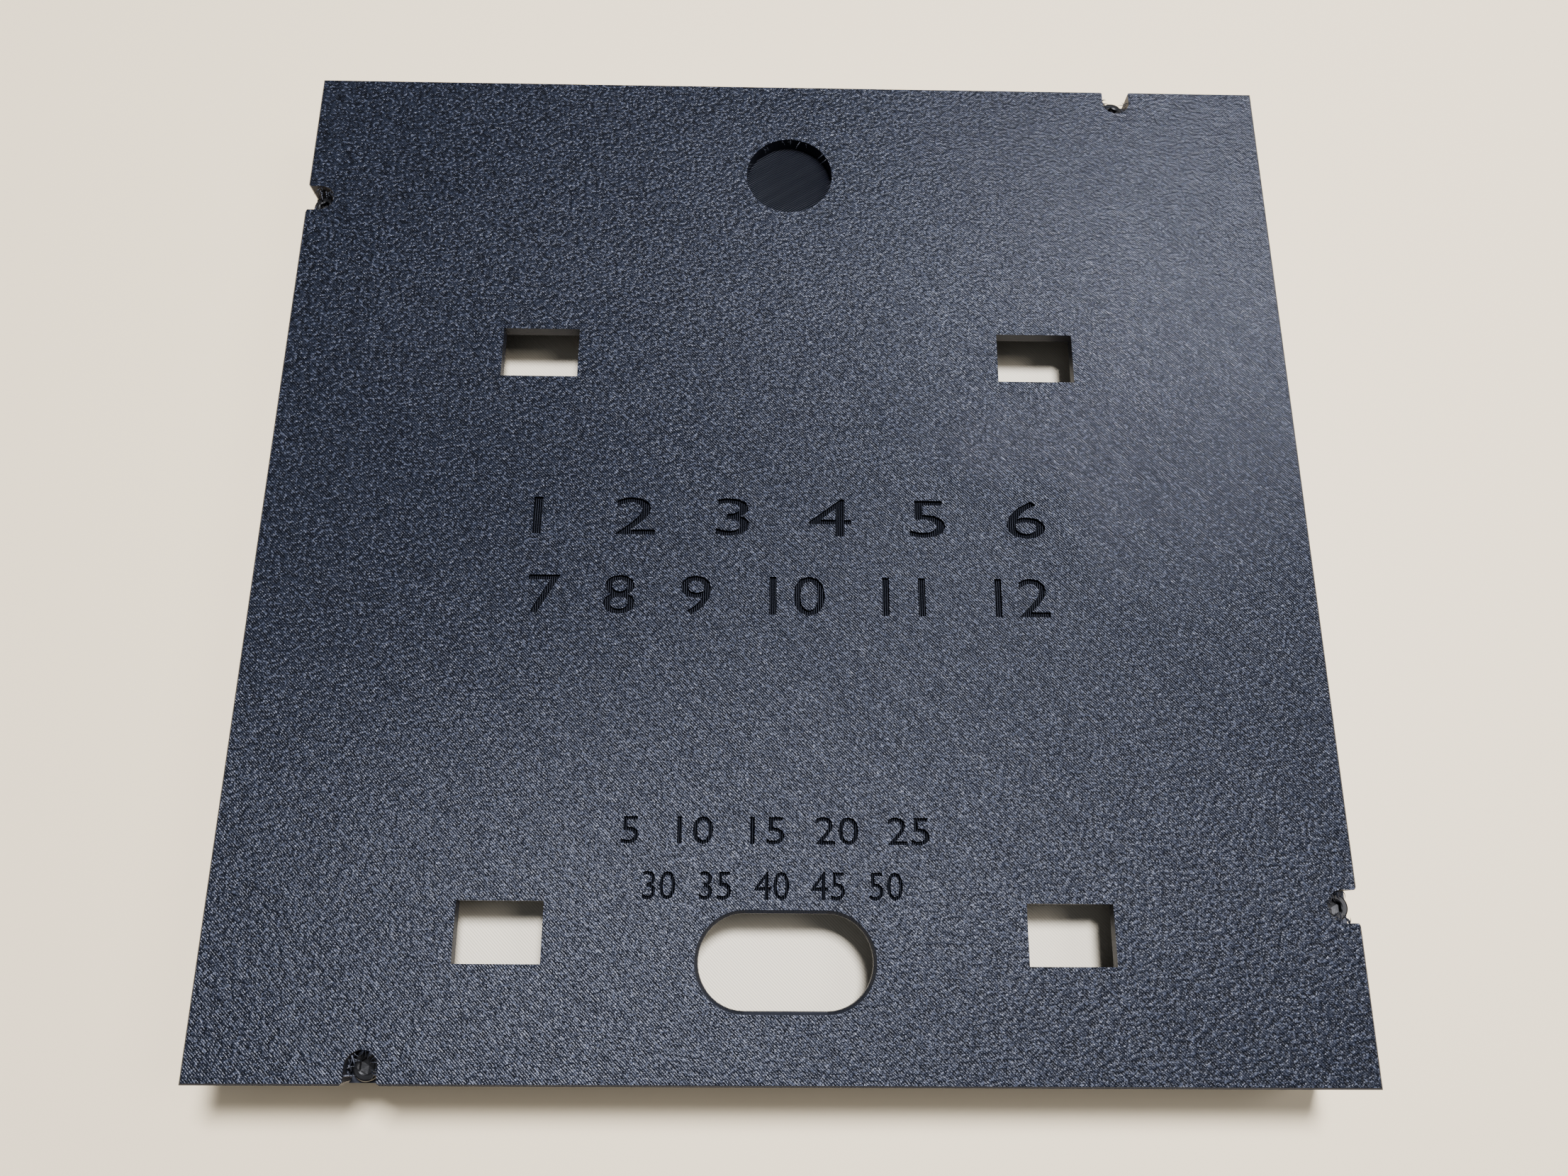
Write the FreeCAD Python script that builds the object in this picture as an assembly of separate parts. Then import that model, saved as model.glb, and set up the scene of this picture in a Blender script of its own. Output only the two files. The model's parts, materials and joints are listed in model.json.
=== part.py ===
"""A square wall-mounted word clock, closed and lying on its face.

The clock is a shallow printed housing with a bezel at the front. Behind the bezel lie, in
this order, the letter plate, a diffuser sheet, a light grid with one cell per letter, and a
carrier with one strip of lamps per row of letters. Four screws hold the carrier to posts of
the housing and trap the stack against the bezel. The controller board and a small junction
board sit on the back of the carrier. A printed cover closes the back. It has four windows
for air, a slot for the supply cable, a round hanging pocket and four screw pockets that are
open to its edge, one near each corner, going round the square like a pinwheel.

Units are millimetres. The clock lies on its front: Z = 0 is the front face of the bezel and
+Z points out of the back cover. +Y is the top of the clock as it hangs, and +X is to the
right as seen from the back. The origin is the centre of the front face.
"""
import FreeCAD, Part
import math
import os

# Outline of the clock
SIDE = 198.5
RIM_CHAMFER = 0.35

# Layers from the front to the back
BEZEL_THICKNESS = 1.6
LETTER_PLATE_THICKNESS = 1.4
DIFFUSER_THICKNESS = 0.4
GRID_DEPTH = 8.0
CARRIER_THICKNESS = 2.6
BAY_DEPTH = 8.4
SKIN = 2.6
COVER_HEIGHT = 6.0

# Housing
HOUSING_WALL = 3.0
PLATE_CLEARANCE = 0.3
BEZEL_OVERLAP = 0.4
BEZEL_BEVEL = 0.8

# Letter field: one lamp, one cell and one letter at each crossing, as many as the side holds
PITCH = 1000.0 / 60.0
FIELD_BORDER = 3.5
GRID_WALL = 1.2

# Lamp strips
STRIP_WIDTH = 10.0
STRIP_THICKNESS = 0.3
STRIP_CHANNEL_CLEARANCE = 0.2
LAMP_SIDE = 5.0
LAMP_HEIGHT = 1.6
LINK_WIDTH = 3.0
LINK_FROM_STRIP_END = 3.5

# Back cover: windows
WINDOW_WIDTH = 15.0
WINDOW_HEIGHT = 10.4
WINDOW_SPACING_X = 98.0
WINDOW_SPACING_Y = 110.0
WINDOW_PATTERN_Y = -19.9

# Back cover: cable slot
SLOT_LENGTH = 30.0
SLOT_WIDTH = 15.9
SLOT_FROM_BOTTOM = 19.75
SLOT_CHAMFER = 0.55

# Back cover: hanging pocket
HANGER_RADIUS = 8.9
HANGER_DEPTH = 3.0
HANGER_FROM_TOP = 22.35
HANGER_FLOOR = 1.2
HANGER_WALL = 2.0

# Back cover: screw pockets, open to the edge
POCKET_WIDTH = 5.6
POCKET_FROM_CORNER = 29.4
POCKET_FLOOR = 0.8
POCKET_WALL = 1.6
POCKET_MOUTH_CHAMFER = 0.5

# Cover screws and their bosses in the housing
COVER_SCREW_RADIUS = 1.45
COVER_SCREW_LENGTH = 12.0
COVER_SCREW_HEAD_RADIUS = 2.5
COVER_SCREW_HEAD_HEIGHT = 1.9
COVER_BOSS_WALL = 2.65
RUNNING_CLEARANCE = 0.08
HOLE_CLEARANCE = 0.25
TIP_CLEARANCE = 1.0
RELIEF_CLEARANCE = 0.3

# Carrier screws and their posts in the housing
CARRIER_SCREW_RADIUS = 0.95
CARRIER_SCREW_LENGTH = 8.0
CARRIER_SCREW_HEAD_RADIUS = 1.9
CARRIER_SCREW_HEAD_HEIGHT = 1.3
POST_HALF_WIDTH = 2.2
POST_INSET = 5.05
POST_SPACING = 80.0
PILOT_CLEARANCE = 0.05
CARRIER_HOLE_CLEARANCE = 0.12

# Circuit boards on the back of the carrier
BOARD_THICKNESS = 1.6
BOARD_SEAT_HEIGHT = 1.0
BOARD_SEAT_WIDTH = 5.0
BOARD_SCREW_RADIUS = 1.2
BOARD_SCREW_LENGTH = 4.4
BOARD_SCREW_HEAD_RADIUS = 2.2
BOARD_SCREW_HEAD_HEIGHT = 1.5

# Controller board
CONTROLLER_WIDTH = 28.4
CONTROLLER_LENGTH = 51.6
CONTROLLER_Y = -26.0
CONTROLLER_HOLE_INSET = 2.5
RADIO_WIDTH = 18.0
RADIO_LENGTH = 25.4
RADIO_THICKNESS = 0.8
SHIELD_WIDTH = 15.8
SHIELD_LENGTH = 17.6
SHIELD_HEIGHT = 2.4
SHIELD_INSET = 1.1
SHIELD_EDGE_CHAMFER = 0.4
USB_WIDTH = 9.0
USB_HEIGHT = 3.2
USB_LENGTH = 7.4
USB_WALL = 0.3
USB_POCKET_DEPTH = 5.6
USB_OVERHANG = 1.2
USB_CORNER_RADIUS = 1.2
TONGUE_WIDTH = 6.6
TONGUE_THICKNESS = 0.7
TONGUE_LENGTH = 4.6
CHIP_SIDE = 5.0
CHIP_HEIGHT = 0.9
REGULATOR_WIDTH = 6.5
REGULATOR_LENGTH = 3.5
REGULATOR_HEIGHT = 1.7

# Buttons on the controller board
BUTTON_SIDE = 6.0
BUTTON_HEIGHT = 3.5
BUTTON_SPACING = 19.2
BUTTON_FROM_EDGE = 9.4
PLUNGER_RADIUS = 1.7
PLUNGER_STANDS_OUT = 1.0
PLUNGER_TRAVEL = 0.25
PLUNGER_WELL_DEPTH = 1.6
PLUNGER_END_GAP = 0.1

# Junction board
JUNCTION_WIDTH = 30.0
JUNCTION_LENGTH = 20.0
JUNCTION_Y = 28.0
JUNCTION_HOLE_INSET = 2.8
CAPACITOR_RADIUS = 3.15
CAPACITOR_HEIGHT = 5.4
CAPACITOR_BASE = 1.0
CAPACITOR_BASE_MARGIN = 0.3
CAPACITOR_BASE_CHAMFER = 1.0
RESISTOR_LENGTH = 3.2
RESISTOR_WIDTH = 1.6
RESISTOR_HEIGHT = 0.6

# Leads and the connector at the start of the first strip
LEAD_RADIUS = 0.8
LEAD_PITCH = 2.54
LEAD_CLEARANCE = 0.05
LEAD_ON_BOARD = 2.0
SUPPLY_BEND_RADIUS = 6.0
FEED_BEND_RADIUS = 7.0
SUPPLY_RUN_X = 26.0
SUPPLY_START_Y = -34.0
FEED_TURN_X = -22.0
FEED_RISE_X = -54.0
FEED_BELOW_STRIP = 16.3
CONNECTOR_FROM_STRIP_END = 5.7
CONNECTOR_WIDTH = 9.2
CONNECTOR_DEPTH = 4.0
CONNECTOR_ABOVE_LEAD = 1.6
CONNECTOR_CLEARANCE = 0.15
COMB_WIDTH = 9.6
COMB_LENGTH = 3.0
SUPPLY_COMB_Y = -3.0

# Heights worked out from the layers
Z_LETTERS = BEZEL_THICKNESS
Z_DIFFUSER = Z_LETTERS + LETTER_PLATE_THICKNESS
Z_GRID = Z_DIFFUSER + DIFFUSER_THICKNESS
Z_CARRIER = Z_GRID + GRID_DEPTH
Z_BAY = Z_CARRIER + CARRIER_THICKNESS
Z_SKIN = Z_BAY + BAY_DEPTH
Z_BACK = Z_SKIN + SKIN
Z_SPLIT = Z_BACK - COVER_HEIGHT
Z_POCKET = Z_SPLIT + POCKET_FLOOR
Z_BOARD = Z_BAY + BOARD_SEAT_HEIGHT
Z_BOARD_TOP = Z_BOARD + BOARD_THICKNESS
Z_LEAD = Z_BOARD_TOP + LEAD_RADIUS + LEAD_CLEARANCE

# Widths and places worked out from the outline
HALF = SIDE / 2
INNER_SIDE = SIDE - 2 * HOUSING_WALL
PLATE_SIDE = INNER_SIDE - 2 * PLATE_CLEARANCE
COLUMNS = int((PLATE_SIDE - 2 * FIELD_BORDER) // PITCH)
ROWS = COLUMNS
FIELD_X = COLUMNS * PITCH
FIELD_Y = ROWS * PITCH
COVER_BOSS_RADIUS = COVER_SCREW_RADIUS + RUNNING_CLEARANCE + COVER_BOSS_WALL
SCREW_INSET = POCKET_WIDTH / 2
CONTROLLER_END_Y = CONTROLLER_Y - CONTROLLER_LENGTH / 2
FIRST_STRIP_EDGE_Y = (ROWS - 1) * PITCH / 2 + STRIP_WIDTH / 2
HANGER_Y = HALF - HANGER_FROM_TOP
SLOT_Y = SLOT_FROM_BOTTOM - HALF
CONNECTOR_X = CONNECTOR_FROM_STRIP_END - FIELD_X / 2
FEED_RISE_Y = FIRST_STRIP_EDGE_Y - FEED_BELOW_STRIP
FEED_COMB_X = (FEED_RISE_X + CONNECTOR_X) / 2


def vector(x, y, z=0.0):
    return FreeCAD.Vector(x, y, z)


def block(width, length, z0, z1, x=0.0, y=0.0):
    """A box from z0 to z1, centred on x, y."""
    return Part.makeBox(width, length, z1 - z0, vector(x - width / 2, y - length / 2, z0))


def rod(radius, z0, z1, x=0.0, y=0.0):
    """An upright cylinder from z0 to z1."""
    return Part.makeCylinder(radius, z1 - z0, vector(x, y, z0))


def edges_at(shape, z, reach):
    """The straight edges of a shape that lie at height z along the square of half-side reach."""
    found = []
    for edge in shape.Edges:
        box = edge.BoundBox
        level = abs(box.ZMin - z) < 1e-6 and abs(box.ZMax - z) < 1e-6
        outer = max(abs(edge.CenterOfMass.x), abs(edge.CenterOfMass.y)) > reach - 1e-6
        if level and outer:
            found.append(edge)
    return found


def outer_block(z0, z1, chamfered_z):
    """The clock's outline from z0 to z1, with one of its two rims chamfered."""
    body = block(SIDE, SIDE, z0, z1)
    return body.makeChamfer(RIM_CHAMFER, edges_at(body, chamfered_z, HALF))


def group(solids):
    return Part.makeCompound(solids)


def pinwheel():
    """The four cover screws: place of the axis and the way out to the nearest edge."""
    inset = HALF - SCREW_INSET
    along = HALF - POCKET_FROM_CORNER
    return [
        (vector(along, inset), vector(0, 1)),
        (vector(-inset, along), vector(-1, 0)),
        (vector(-along, -inset), vector(0, -1)),
        (vector(inset, -along), vector(1, 0)),
    ]


def posts():
    """The four carrier screws: place of the axis and the way out to the nearest wall."""
    inset = HALF - POST_INSET
    along = POST_SPACING / 2
    places = []
    for side in (1, -1):
        for end in (1, -1):
            places.append((vector(end * along, side * inset), vector(0, side)))
    return places


def wall_block(place, outward, half_width, z0, z1):
    """A square pillar round a screw axis, as wide as it stands out from the wall it joins."""
    along = vector(abs(outward.y), abs(outward.x))
    inner = place - outward * half_width - along * half_width
    outer = place + outward * (HALF - abs(place.dot(outward))) + along * half_width
    low = vector(min(inner.x, outer.x), min(inner.y, outer.y), z0)
    return Part.makeBox(abs(outer.x - inner.x), abs(outer.y - inner.y), z1 - z0, low)


def octagon(corner_radius, z0, z1, place):
    """An upright eight-sided prism whose corners lie on a circle."""
    points = []
    for k in range(9):
        turn = math.pi / 8 + math.pi / 4 * k
        points.append(vector(place.x + corner_radius * math.cos(turn), place.y + corner_radius * math.sin(turn), z0))
    return Part.Face(Part.makePolygon(points)).extrude(vector(0, 0, z1 - z0))


def screw_hole(radius, z0, z1, place):
    """An eight-sided hole whose flats lie at the radius."""
    return octagon(radius / math.cos(math.pi / 8), z0, z1, place)


def screw(place, z_seat, radius, length, head_radius, head_height):
    """A screw with a flat round head. The thread is left out and the shank has eight sides."""
    head = rod(head_radius, z_seat, z_seat + head_height, place.x, place.y)
    return head.fuse(octagon(radius, z_seat - length, z_seat, place))


def stadium(length, width, z, y):
    """A closed outline with two straight sides and two half-round ends."""
    r = width / 2
    s = length / 2 - r
    top = Part.LineSegment(vector(s, y + r, z), vector(-s, y + r, z)).toShape()
    left = Part.Arc(vector(-s, y + r, z), vector(-s - r, y, z), vector(-s, y - r, z)).toShape()
    bottom = Part.LineSegment(vector(-s, y - r, z), vector(s, y - r, z)).toShape()
    right = Part.Arc(vector(s, y - r, z), vector(s + r, y, z), vector(s, y + r, z)).toShape()
    return Part.Wire([top, left, bottom, right])


def pocket(place, outward, half_width, z0, z1, mouth):
    """A U-shaped pocket round a screw axis, open to the cover's edge, with a flared mouth."""
    side = vector(-outward.y, outward.x)
    edge = place + outward * (HALF - abs(place.dot(outward)))
    neck = edge - outward * mouth
    outside = edge + outward
    a = place + side * half_width
    b = place - side * half_width
    points = [
        b,
        neck - side * half_width,
        edge - side * (half_width + mouth),
        outside - side * (half_width + mouth),
        outside + side * (half_width + mouth),
        edge + side * (half_width + mouth),
        neck + side * half_width,
        a,
    ]
    edges = [Part.LineSegment(p, q).toShape() for p, q in zip(points, points[1:])]
    edges.append(Part.Arc(a, place - outward * half_width, b).toShape())
    prism = Part.Face(Part.Wire(edges)).extrude(vector(0, 0, z1 - z0))
    prism.translate(vector(0, 0, z0))
    return prism


def make_housing():
    """The printed frame: bezel, walls, cover bosses and carrier posts."""
    body = outer_block(0, Z_SPLIT, 0)
    body = body.cut(block(INNER_SIDE, INNER_SIDE, Z_LETTERS, Z_SPLIT))
    opening_x = FIELD_X - 2 * BEZEL_OVERLAP
    opening_y = FIELD_Y - 2 * BEZEL_OVERLAP
    body = body.cut(block(opening_x, opening_y, 0, BEZEL_THICKNESS))
    wide = Part.makePlane(opening_x + 2 * BEZEL_BEVEL, opening_y + 2 * BEZEL_BEVEL,
                          vector(-opening_x / 2 - BEZEL_BEVEL, -opening_y / 2 - BEZEL_BEVEL, 0))
    narrow = Part.makePlane(opening_x, opening_y, vector(-opening_x / 2, -opening_y / 2, BEZEL_BEVEL))
    body = body.cut(Part.makeLoft([wide.OuterWire, narrow.OuterWire], True, True))
    added = []
    holes = []
    for place, outward in pinwheel():
        added.append(rod(COVER_BOSS_RADIUS, BEZEL_THICKNESS / 2, Z_SPLIT, place.x, place.y))
        bottom = Z_POCKET - COVER_SCREW_LENGTH - TIP_CLEARANCE
        holes.append(screw_hole(COVER_SCREW_RADIUS + RUNNING_CLEARANCE, bottom, Z_SPLIT, place))
    for place, outward in posts():
        added.append(wall_block(place, outward, POST_HALF_WIDTH, BEZEL_THICKNESS / 2, Z_CARRIER))
        bottom = Z_BAY - CARRIER_SCREW_LENGTH - TIP_CLEARANCE
        holes.append(screw_hole(CARRIER_SCREW_RADIUS + PILOT_CLEARANCE, bottom, Z_CARRIER, place))
    outline = outer_block(0, Z_SPLIT, 0)
    added = [piece.common(outline) for piece in added]
    return body.fuse(added).removeSplitter().cut(group(holes))


def reliefs(z0, z1, with_posts):
    """The room that the housing's bosses, and its posts, need in the pieces between them."""
    boss = COVER_BOSS_RADIUS + RELIEF_CLEARANCE
    post = POST_HALF_WIDTH + RELIEF_CLEARANCE
    cuts = [wall_block(place, outward, boss, z0, z1) for place, outward in pinwheel()]
    if with_posts:
        cuts += [wall_block(place, outward, post, z0, z1) for place, outward in posts()]
    return group(cuts)


def make_plate(z0, z1):
    """A square sheet that drops into the housing past its bosses and posts."""
    return block(PLATE_SIDE, PLATE_SIDE, z0, z1).cut(reliefs(z0, z1, True))


def lamp_places():
    for row in range(ROWS):
        for column in range(COLUMNS):
            yield (column - (COLUMNS - 1) / 2) * PITCH, ((ROWS - 1) / 2 - row) * PITCH


def make_light_grid():
    """One square cell for each lamp, so that no letter lights its neighbour."""
    cell = PITCH - GRID_WALL
    cells = [block(cell, cell, Z_GRID, Z_CARRIER, x, y) for x, y in lamp_places()]
    return make_plate(Z_GRID, Z_CARRIER).cut(group(cells))


def strip_y(row):
    return ((ROWS - 1) / 2 - row) * PITCH


def make_strip(row, clearance=0.0):
    z1 = Z_CARRIER + STRIP_THICKNESS
    return block(FIELD_X + 2 * clearance, STRIP_WIDTH + 2 * clearance, Z_CARRIER, z1, 0, strip_y(row))


def make_link(row, clearance=0.0):
    """The flat jumper from the end of one strip to the start of the next, at alternate sides."""
    side = 1 if row % 2 == 0 else -1
    x = side * (FIELD_X / 2 - LINK_FROM_STRIP_END)
    y = (strip_y(row) + strip_y(row + 1)) / 2
    length = PITCH - STRIP_WIDTH
    z1 = Z_CARRIER + STRIP_THICKNESS
    return block(LINK_WIDTH + 2 * clearance, length, Z_CARRIER, z1, x, y)


def make_lamps():
    z0 = Z_CARRIER - LAMP_HEIGHT
    return group([block(LAMP_SIDE, LAMP_SIDE, z0, Z_CARRIER, x, y) for x, y in lamp_places()])


def board_holes(width, length, inset, y):
    """The four screw places of a board, from its lower left corner, anticlockwise."""
    dx = width / 2 - inset
    dy = length / 2 - inset
    return [vector(-dx, y - dy), vector(dx, y - dy), vector(dx, y + dy), vector(-dx, y + dy)]


def controller_screws():
    return board_holes(CONTROLLER_WIDTH, CONTROLLER_LENGTH, CONTROLLER_HOLE_INSET, CONTROLLER_Y)


def junction_screws():
    corners = board_holes(JUNCTION_WIDTH, JUNCTION_LENGTH, JUNCTION_HOLE_INSET, JUNCTION_Y)
    return [corners[0], corners[2]]


def parallel(points, offset):
    """The route beside a route of straight runs, moved to its right by offset."""
    count = len(points)
    ways = [(q - p).normalize() for p, q in zip(points, points[1:])]
    rights = [vector(w.y, -w.x) for w in ways]
    moved = [points[0] + rights[0] * offset]
    for k in range(1, count - 1):
        both = rights[k - 1] + rights[k]
        moved.append(points[k] + both * (2 * offset / both.dot(both)))
    moved.append(points[-1] + rights[-1] * offset)
    return moved


def lead_section(place, way, radius):
    """The lead's cross-section: eight flats at the radius, with one flat facing down."""
    side = vector(-way.y, way.x)
    up = vector(0, 0, 1)
    corner = radius / math.cos(math.pi / 8)
    points = []
    for k in range(9):
        turn = math.pi / 8 + math.pi / 4 * k
        points.append(place + side * (corner * math.cos(turn)) + up * (corner * math.sin(turn)))
    return Part.makePolygon(points)


def tube(points, bend_radius, radius):
    """A lead along straight runs that tangent arcs join."""
    edges = []
    start = points[0]
    for before, corner, after in zip(points, points[1:], points[2:]):
        way_in = (corner - before).normalize()
        way_out = (after - corner).normalize()
        turn = way_in.getAngle(way_out)
        setback = bend_radius * math.tan(turn / 2)
        first = corner - way_in * setback
        last = corner + way_out * setback
        inward = (way_out - way_in).normalize()
        middle = corner + inward * (bend_radius / math.cos(turn / 2) - bend_radius)
        edges.append(Part.LineSegment(start, first).toShape())
        edges.append(Part.Arc(first, middle, last).toShape())
        start = last
    edges.append(Part.LineSegment(start, points[-1]).toShape())
    path = Part.Wire(edges)
    profile = lead_section(points[0], (points[1] - points[0]).normalize(), radius)
    lead = path.makePipeShell([profile], True, False)
    share = lead.Volume / (Part.Face(profile).Area * path.Length)
    print("lead length", round(path.Length, 1), "bend radius", bend_radius, "volume share", round(share, 4))
    return lead


def supply_route():
    """The middle lead from the controller board's right edge to the junction board's."""
    start = CONTROLLER_WIDTH / 2 - LEAD_ON_BOARD
    end = JUNCTION_WIDTH / 2 - LEAD_ON_BOARD
    return [
        vector(start, SUPPLY_START_Y, Z_LEAD),
        vector(SUPPLY_RUN_X, SUPPLY_START_Y, Z_LEAD),
        vector(SUPPLY_RUN_X, JUNCTION_Y, Z_LEAD),
        vector(end, JUNCTION_Y, Z_LEAD),
    ]


def feed_route():
    """The middle lead from the junction board's left edge to the first strip's connector."""
    start = -JUNCTION_WIDTH / 2 + LEAD_ON_BOARD
    return [
        vector(start, JUNCTION_Y, Z_LEAD),
        vector(FEED_TURN_X, JUNCTION_Y, Z_LEAD),
        vector(FEED_RISE_X, FEED_RISE_Y, Z_LEAD),
        vector(CONNECTOR_X, FEED_RISE_Y, Z_LEAD),
        vector(CONNECTOR_X, FIRST_STRIP_EDGE_Y, Z_LEAD),
    ]


def make_lead(route, bend_radius, step):
    return tube(parallel(route, step * LEAD_PITCH), bend_radius, LEAD_RADIUS)


def make_comb(x, y, along_x):
    """A low block on the carrier with a square notch for each of three leads."""
    notch = 2 * (LEAD_RADIUS + LEAD_CLEARANCE)
    floor = Z_LEAD - LEAD_RADIUS - LEAD_CLEARANCE
    combs = block(COMB_LENGTH, COMB_WIDTH, Z_BAY, Z_LEAD, 0, 0)
    for step in (-1, 0, 1):
        combs = combs.cut(block(COMB_LENGTH, notch, floor, Z_LEAD, 0, step * LEAD_PITCH))
    if not along_x:
        combs.rotate(vector(0, 0), vector(0, 0, 1), 90)
    combs.translate(vector(x, y))
    return combs


def make_connector(clearance=0.0):
    """The three-way block at the start of the first strip, passing through the carrier."""
    y = FIRST_STRIP_EDGE_Y + CONNECTOR_DEPTH / 2
    z1 = Z_LEAD + CONNECTOR_ABOVE_LEAD
    return block(CONNECTOR_WIDTH + 2 * clearance, CONNECTOR_DEPTH + 2 * clearance, Z_CARRIER, z1, CONNECTOR_X, y)


def make_carrier():
    """The printed plate that holds the strips at its front and the boards at its back."""
    body = block(PLATE_SIDE, PLATE_SIDE, Z_CARRIER, Z_BAY)
    added = []
    holes = []
    for place in controller_screws() + junction_screws():
        added.append(block(BOARD_SEAT_WIDTH, BOARD_SEAT_WIDTH, Z_BAY, Z_BOARD, place.x, place.y))
        bottom = Z_BOARD_TOP - BOARD_SCREW_LENGTH
        holes.append(screw_hole(BOARD_SCREW_RADIUS + PILOT_CLEARANCE, bottom, Z_BOARD, place))
    added.append(make_comb(SUPPLY_RUN_X, SUPPLY_COMB_Y, False))
    added.append(make_comb(FEED_COMB_X, FEED_RISE_Y, True))
    for place, outward in posts():
        holes.append(screw_hole(CARRIER_SCREW_RADIUS + CARRIER_HOLE_CLEARANCE, Z_CARRIER, Z_BAY, place))
    for row in range(ROWS):
        holes.append(make_strip(row, STRIP_CHANNEL_CLEARANCE))
    for row in range(ROWS - 1):
        holes.append(make_link(row, STRIP_CHANNEL_CLEARANCE))
    body = body.fuse(added).removeSplitter()
    body = body.cut(reliefs(Z_CARRIER, Z_BAY, False))
    for hole in holes:
        body = body.cut(hole)
    return body.cut(make_connector(CONNECTOR_CLEARANCE))


def make_board(width, length, y, holes):
    body = block(width, length, Z_BOARD, Z_BOARD_TOP, 0, y)
    return body.cut(group([screw_hole(BOARD_SCREW_RADIUS + HOLE_CLEARANCE, Z_BOARD, Z_BOARD_TOP, p) for p in holes]))


def make_shield(y, z0):
    """The metal can over the radio chip, with its upper and upright edges chamfered."""
    can = block(SHIELD_WIDTH, SHIELD_LENGTH, z0, z0 + SHIELD_HEIGHT, 0, y)
    upper = [e for e in can.Edges if e.BoundBox.ZMax > z0 + SHIELD_HEIGHT / 2]
    return can.makeChamfer(SHIELD_EDGE_CHAMFER, upper)


def make_usb_shell():
    """The metal shell of the supply socket, open towards the cable slot."""
    z0 = Z_BOARD_TOP
    z1 = z0 + USB_HEIGHT
    mouth = CONTROLLER_END_Y - USB_OVERHANG
    shell = block(USB_WIDTH, USB_LENGTH, z0, z1, 0, mouth + USB_LENGTH / 2)
    along = [e for e in shell.Edges if abs(e.tangentAt(e.FirstParameter).y) > 0.99]
    shell = shell.makeFillet(USB_CORNER_RADIUS, along)
    wall = 2 * USB_WALL
    hollow = block(USB_WIDTH - wall, USB_POCKET_DEPTH, z0 + USB_WALL, z1 - USB_WALL, 0, mouth + USB_POCKET_DEPTH / 2)
    along = [e for e in hollow.Edges if abs(e.tangentAt(e.FirstParameter).y) > 0.99]
    return shell.cut(hollow.makeFillet(USB_CORNER_RADIUS - USB_WALL, along))


def make_usb_tongue():
    y1 = CONTROLLER_END_Y - USB_OVERHANG + USB_POCKET_DEPTH
    middle = Z_BOARD_TOP + USB_HEIGHT / 2
    half = TONGUE_THICKNESS / 2
    return block(TONGUE_WIDTH, TONGUE_LENGTH, middle - half, middle + half, 0, y1 - TONGUE_LENGTH / 2)


def button_place(side):
    return side * BUTTON_SPACING / 2, CONTROLLER_END_Y + BUTTON_FROM_EDGE


def make_button_case(side):
    x, y = button_place(side)
    z1 = Z_BOARD_TOP + BUTTON_HEIGHT
    case = block(BUTTON_SIDE, BUTTON_SIDE, Z_BOARD_TOP, z1, x, y)
    return case.cut(rod(PLUNGER_RADIUS + RUNNING_CLEARANCE, z1 - PLUNGER_WELL_DEPTH, z1, x, y))


def make_plunger(side):
    """The round plunger, held above the bottom of its well by its travel and a small gap."""
    x, y = button_place(side)
    top = Z_BOARD_TOP + BUTTON_HEIGHT
    z0 = top - PLUNGER_WELL_DEPTH + PLUNGER_TRAVEL + PLUNGER_END_GAP
    return rod(PLUNGER_RADIUS, z0, top + PLUNGER_STANDS_OUT, x, y)


def make_capacitor(x, y):
    """A round can on a square base with two chamfered corners."""
    z0 = Z_BOARD_TOP
    side = 2 * CAPACITOR_RADIUS + 2 * CAPACITOR_BASE_MARGIN
    base = block(side, side, z0, z0 + CAPACITOR_BASE, x, y)
    upright = [e for e in base.Edges if abs(e.tangentAt(e.FirstParameter).z) > 0.99 and e.CenterOfMass.y > y]
    base = base.makeChamfer(CAPACITOR_BASE_CHAMFER, upright)
    return base.fuse(rod(CAPACITOR_RADIUS, z0 + CAPACITOR_BASE, z0 + CAPACITOR_HEIGHT, x, y))


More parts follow.
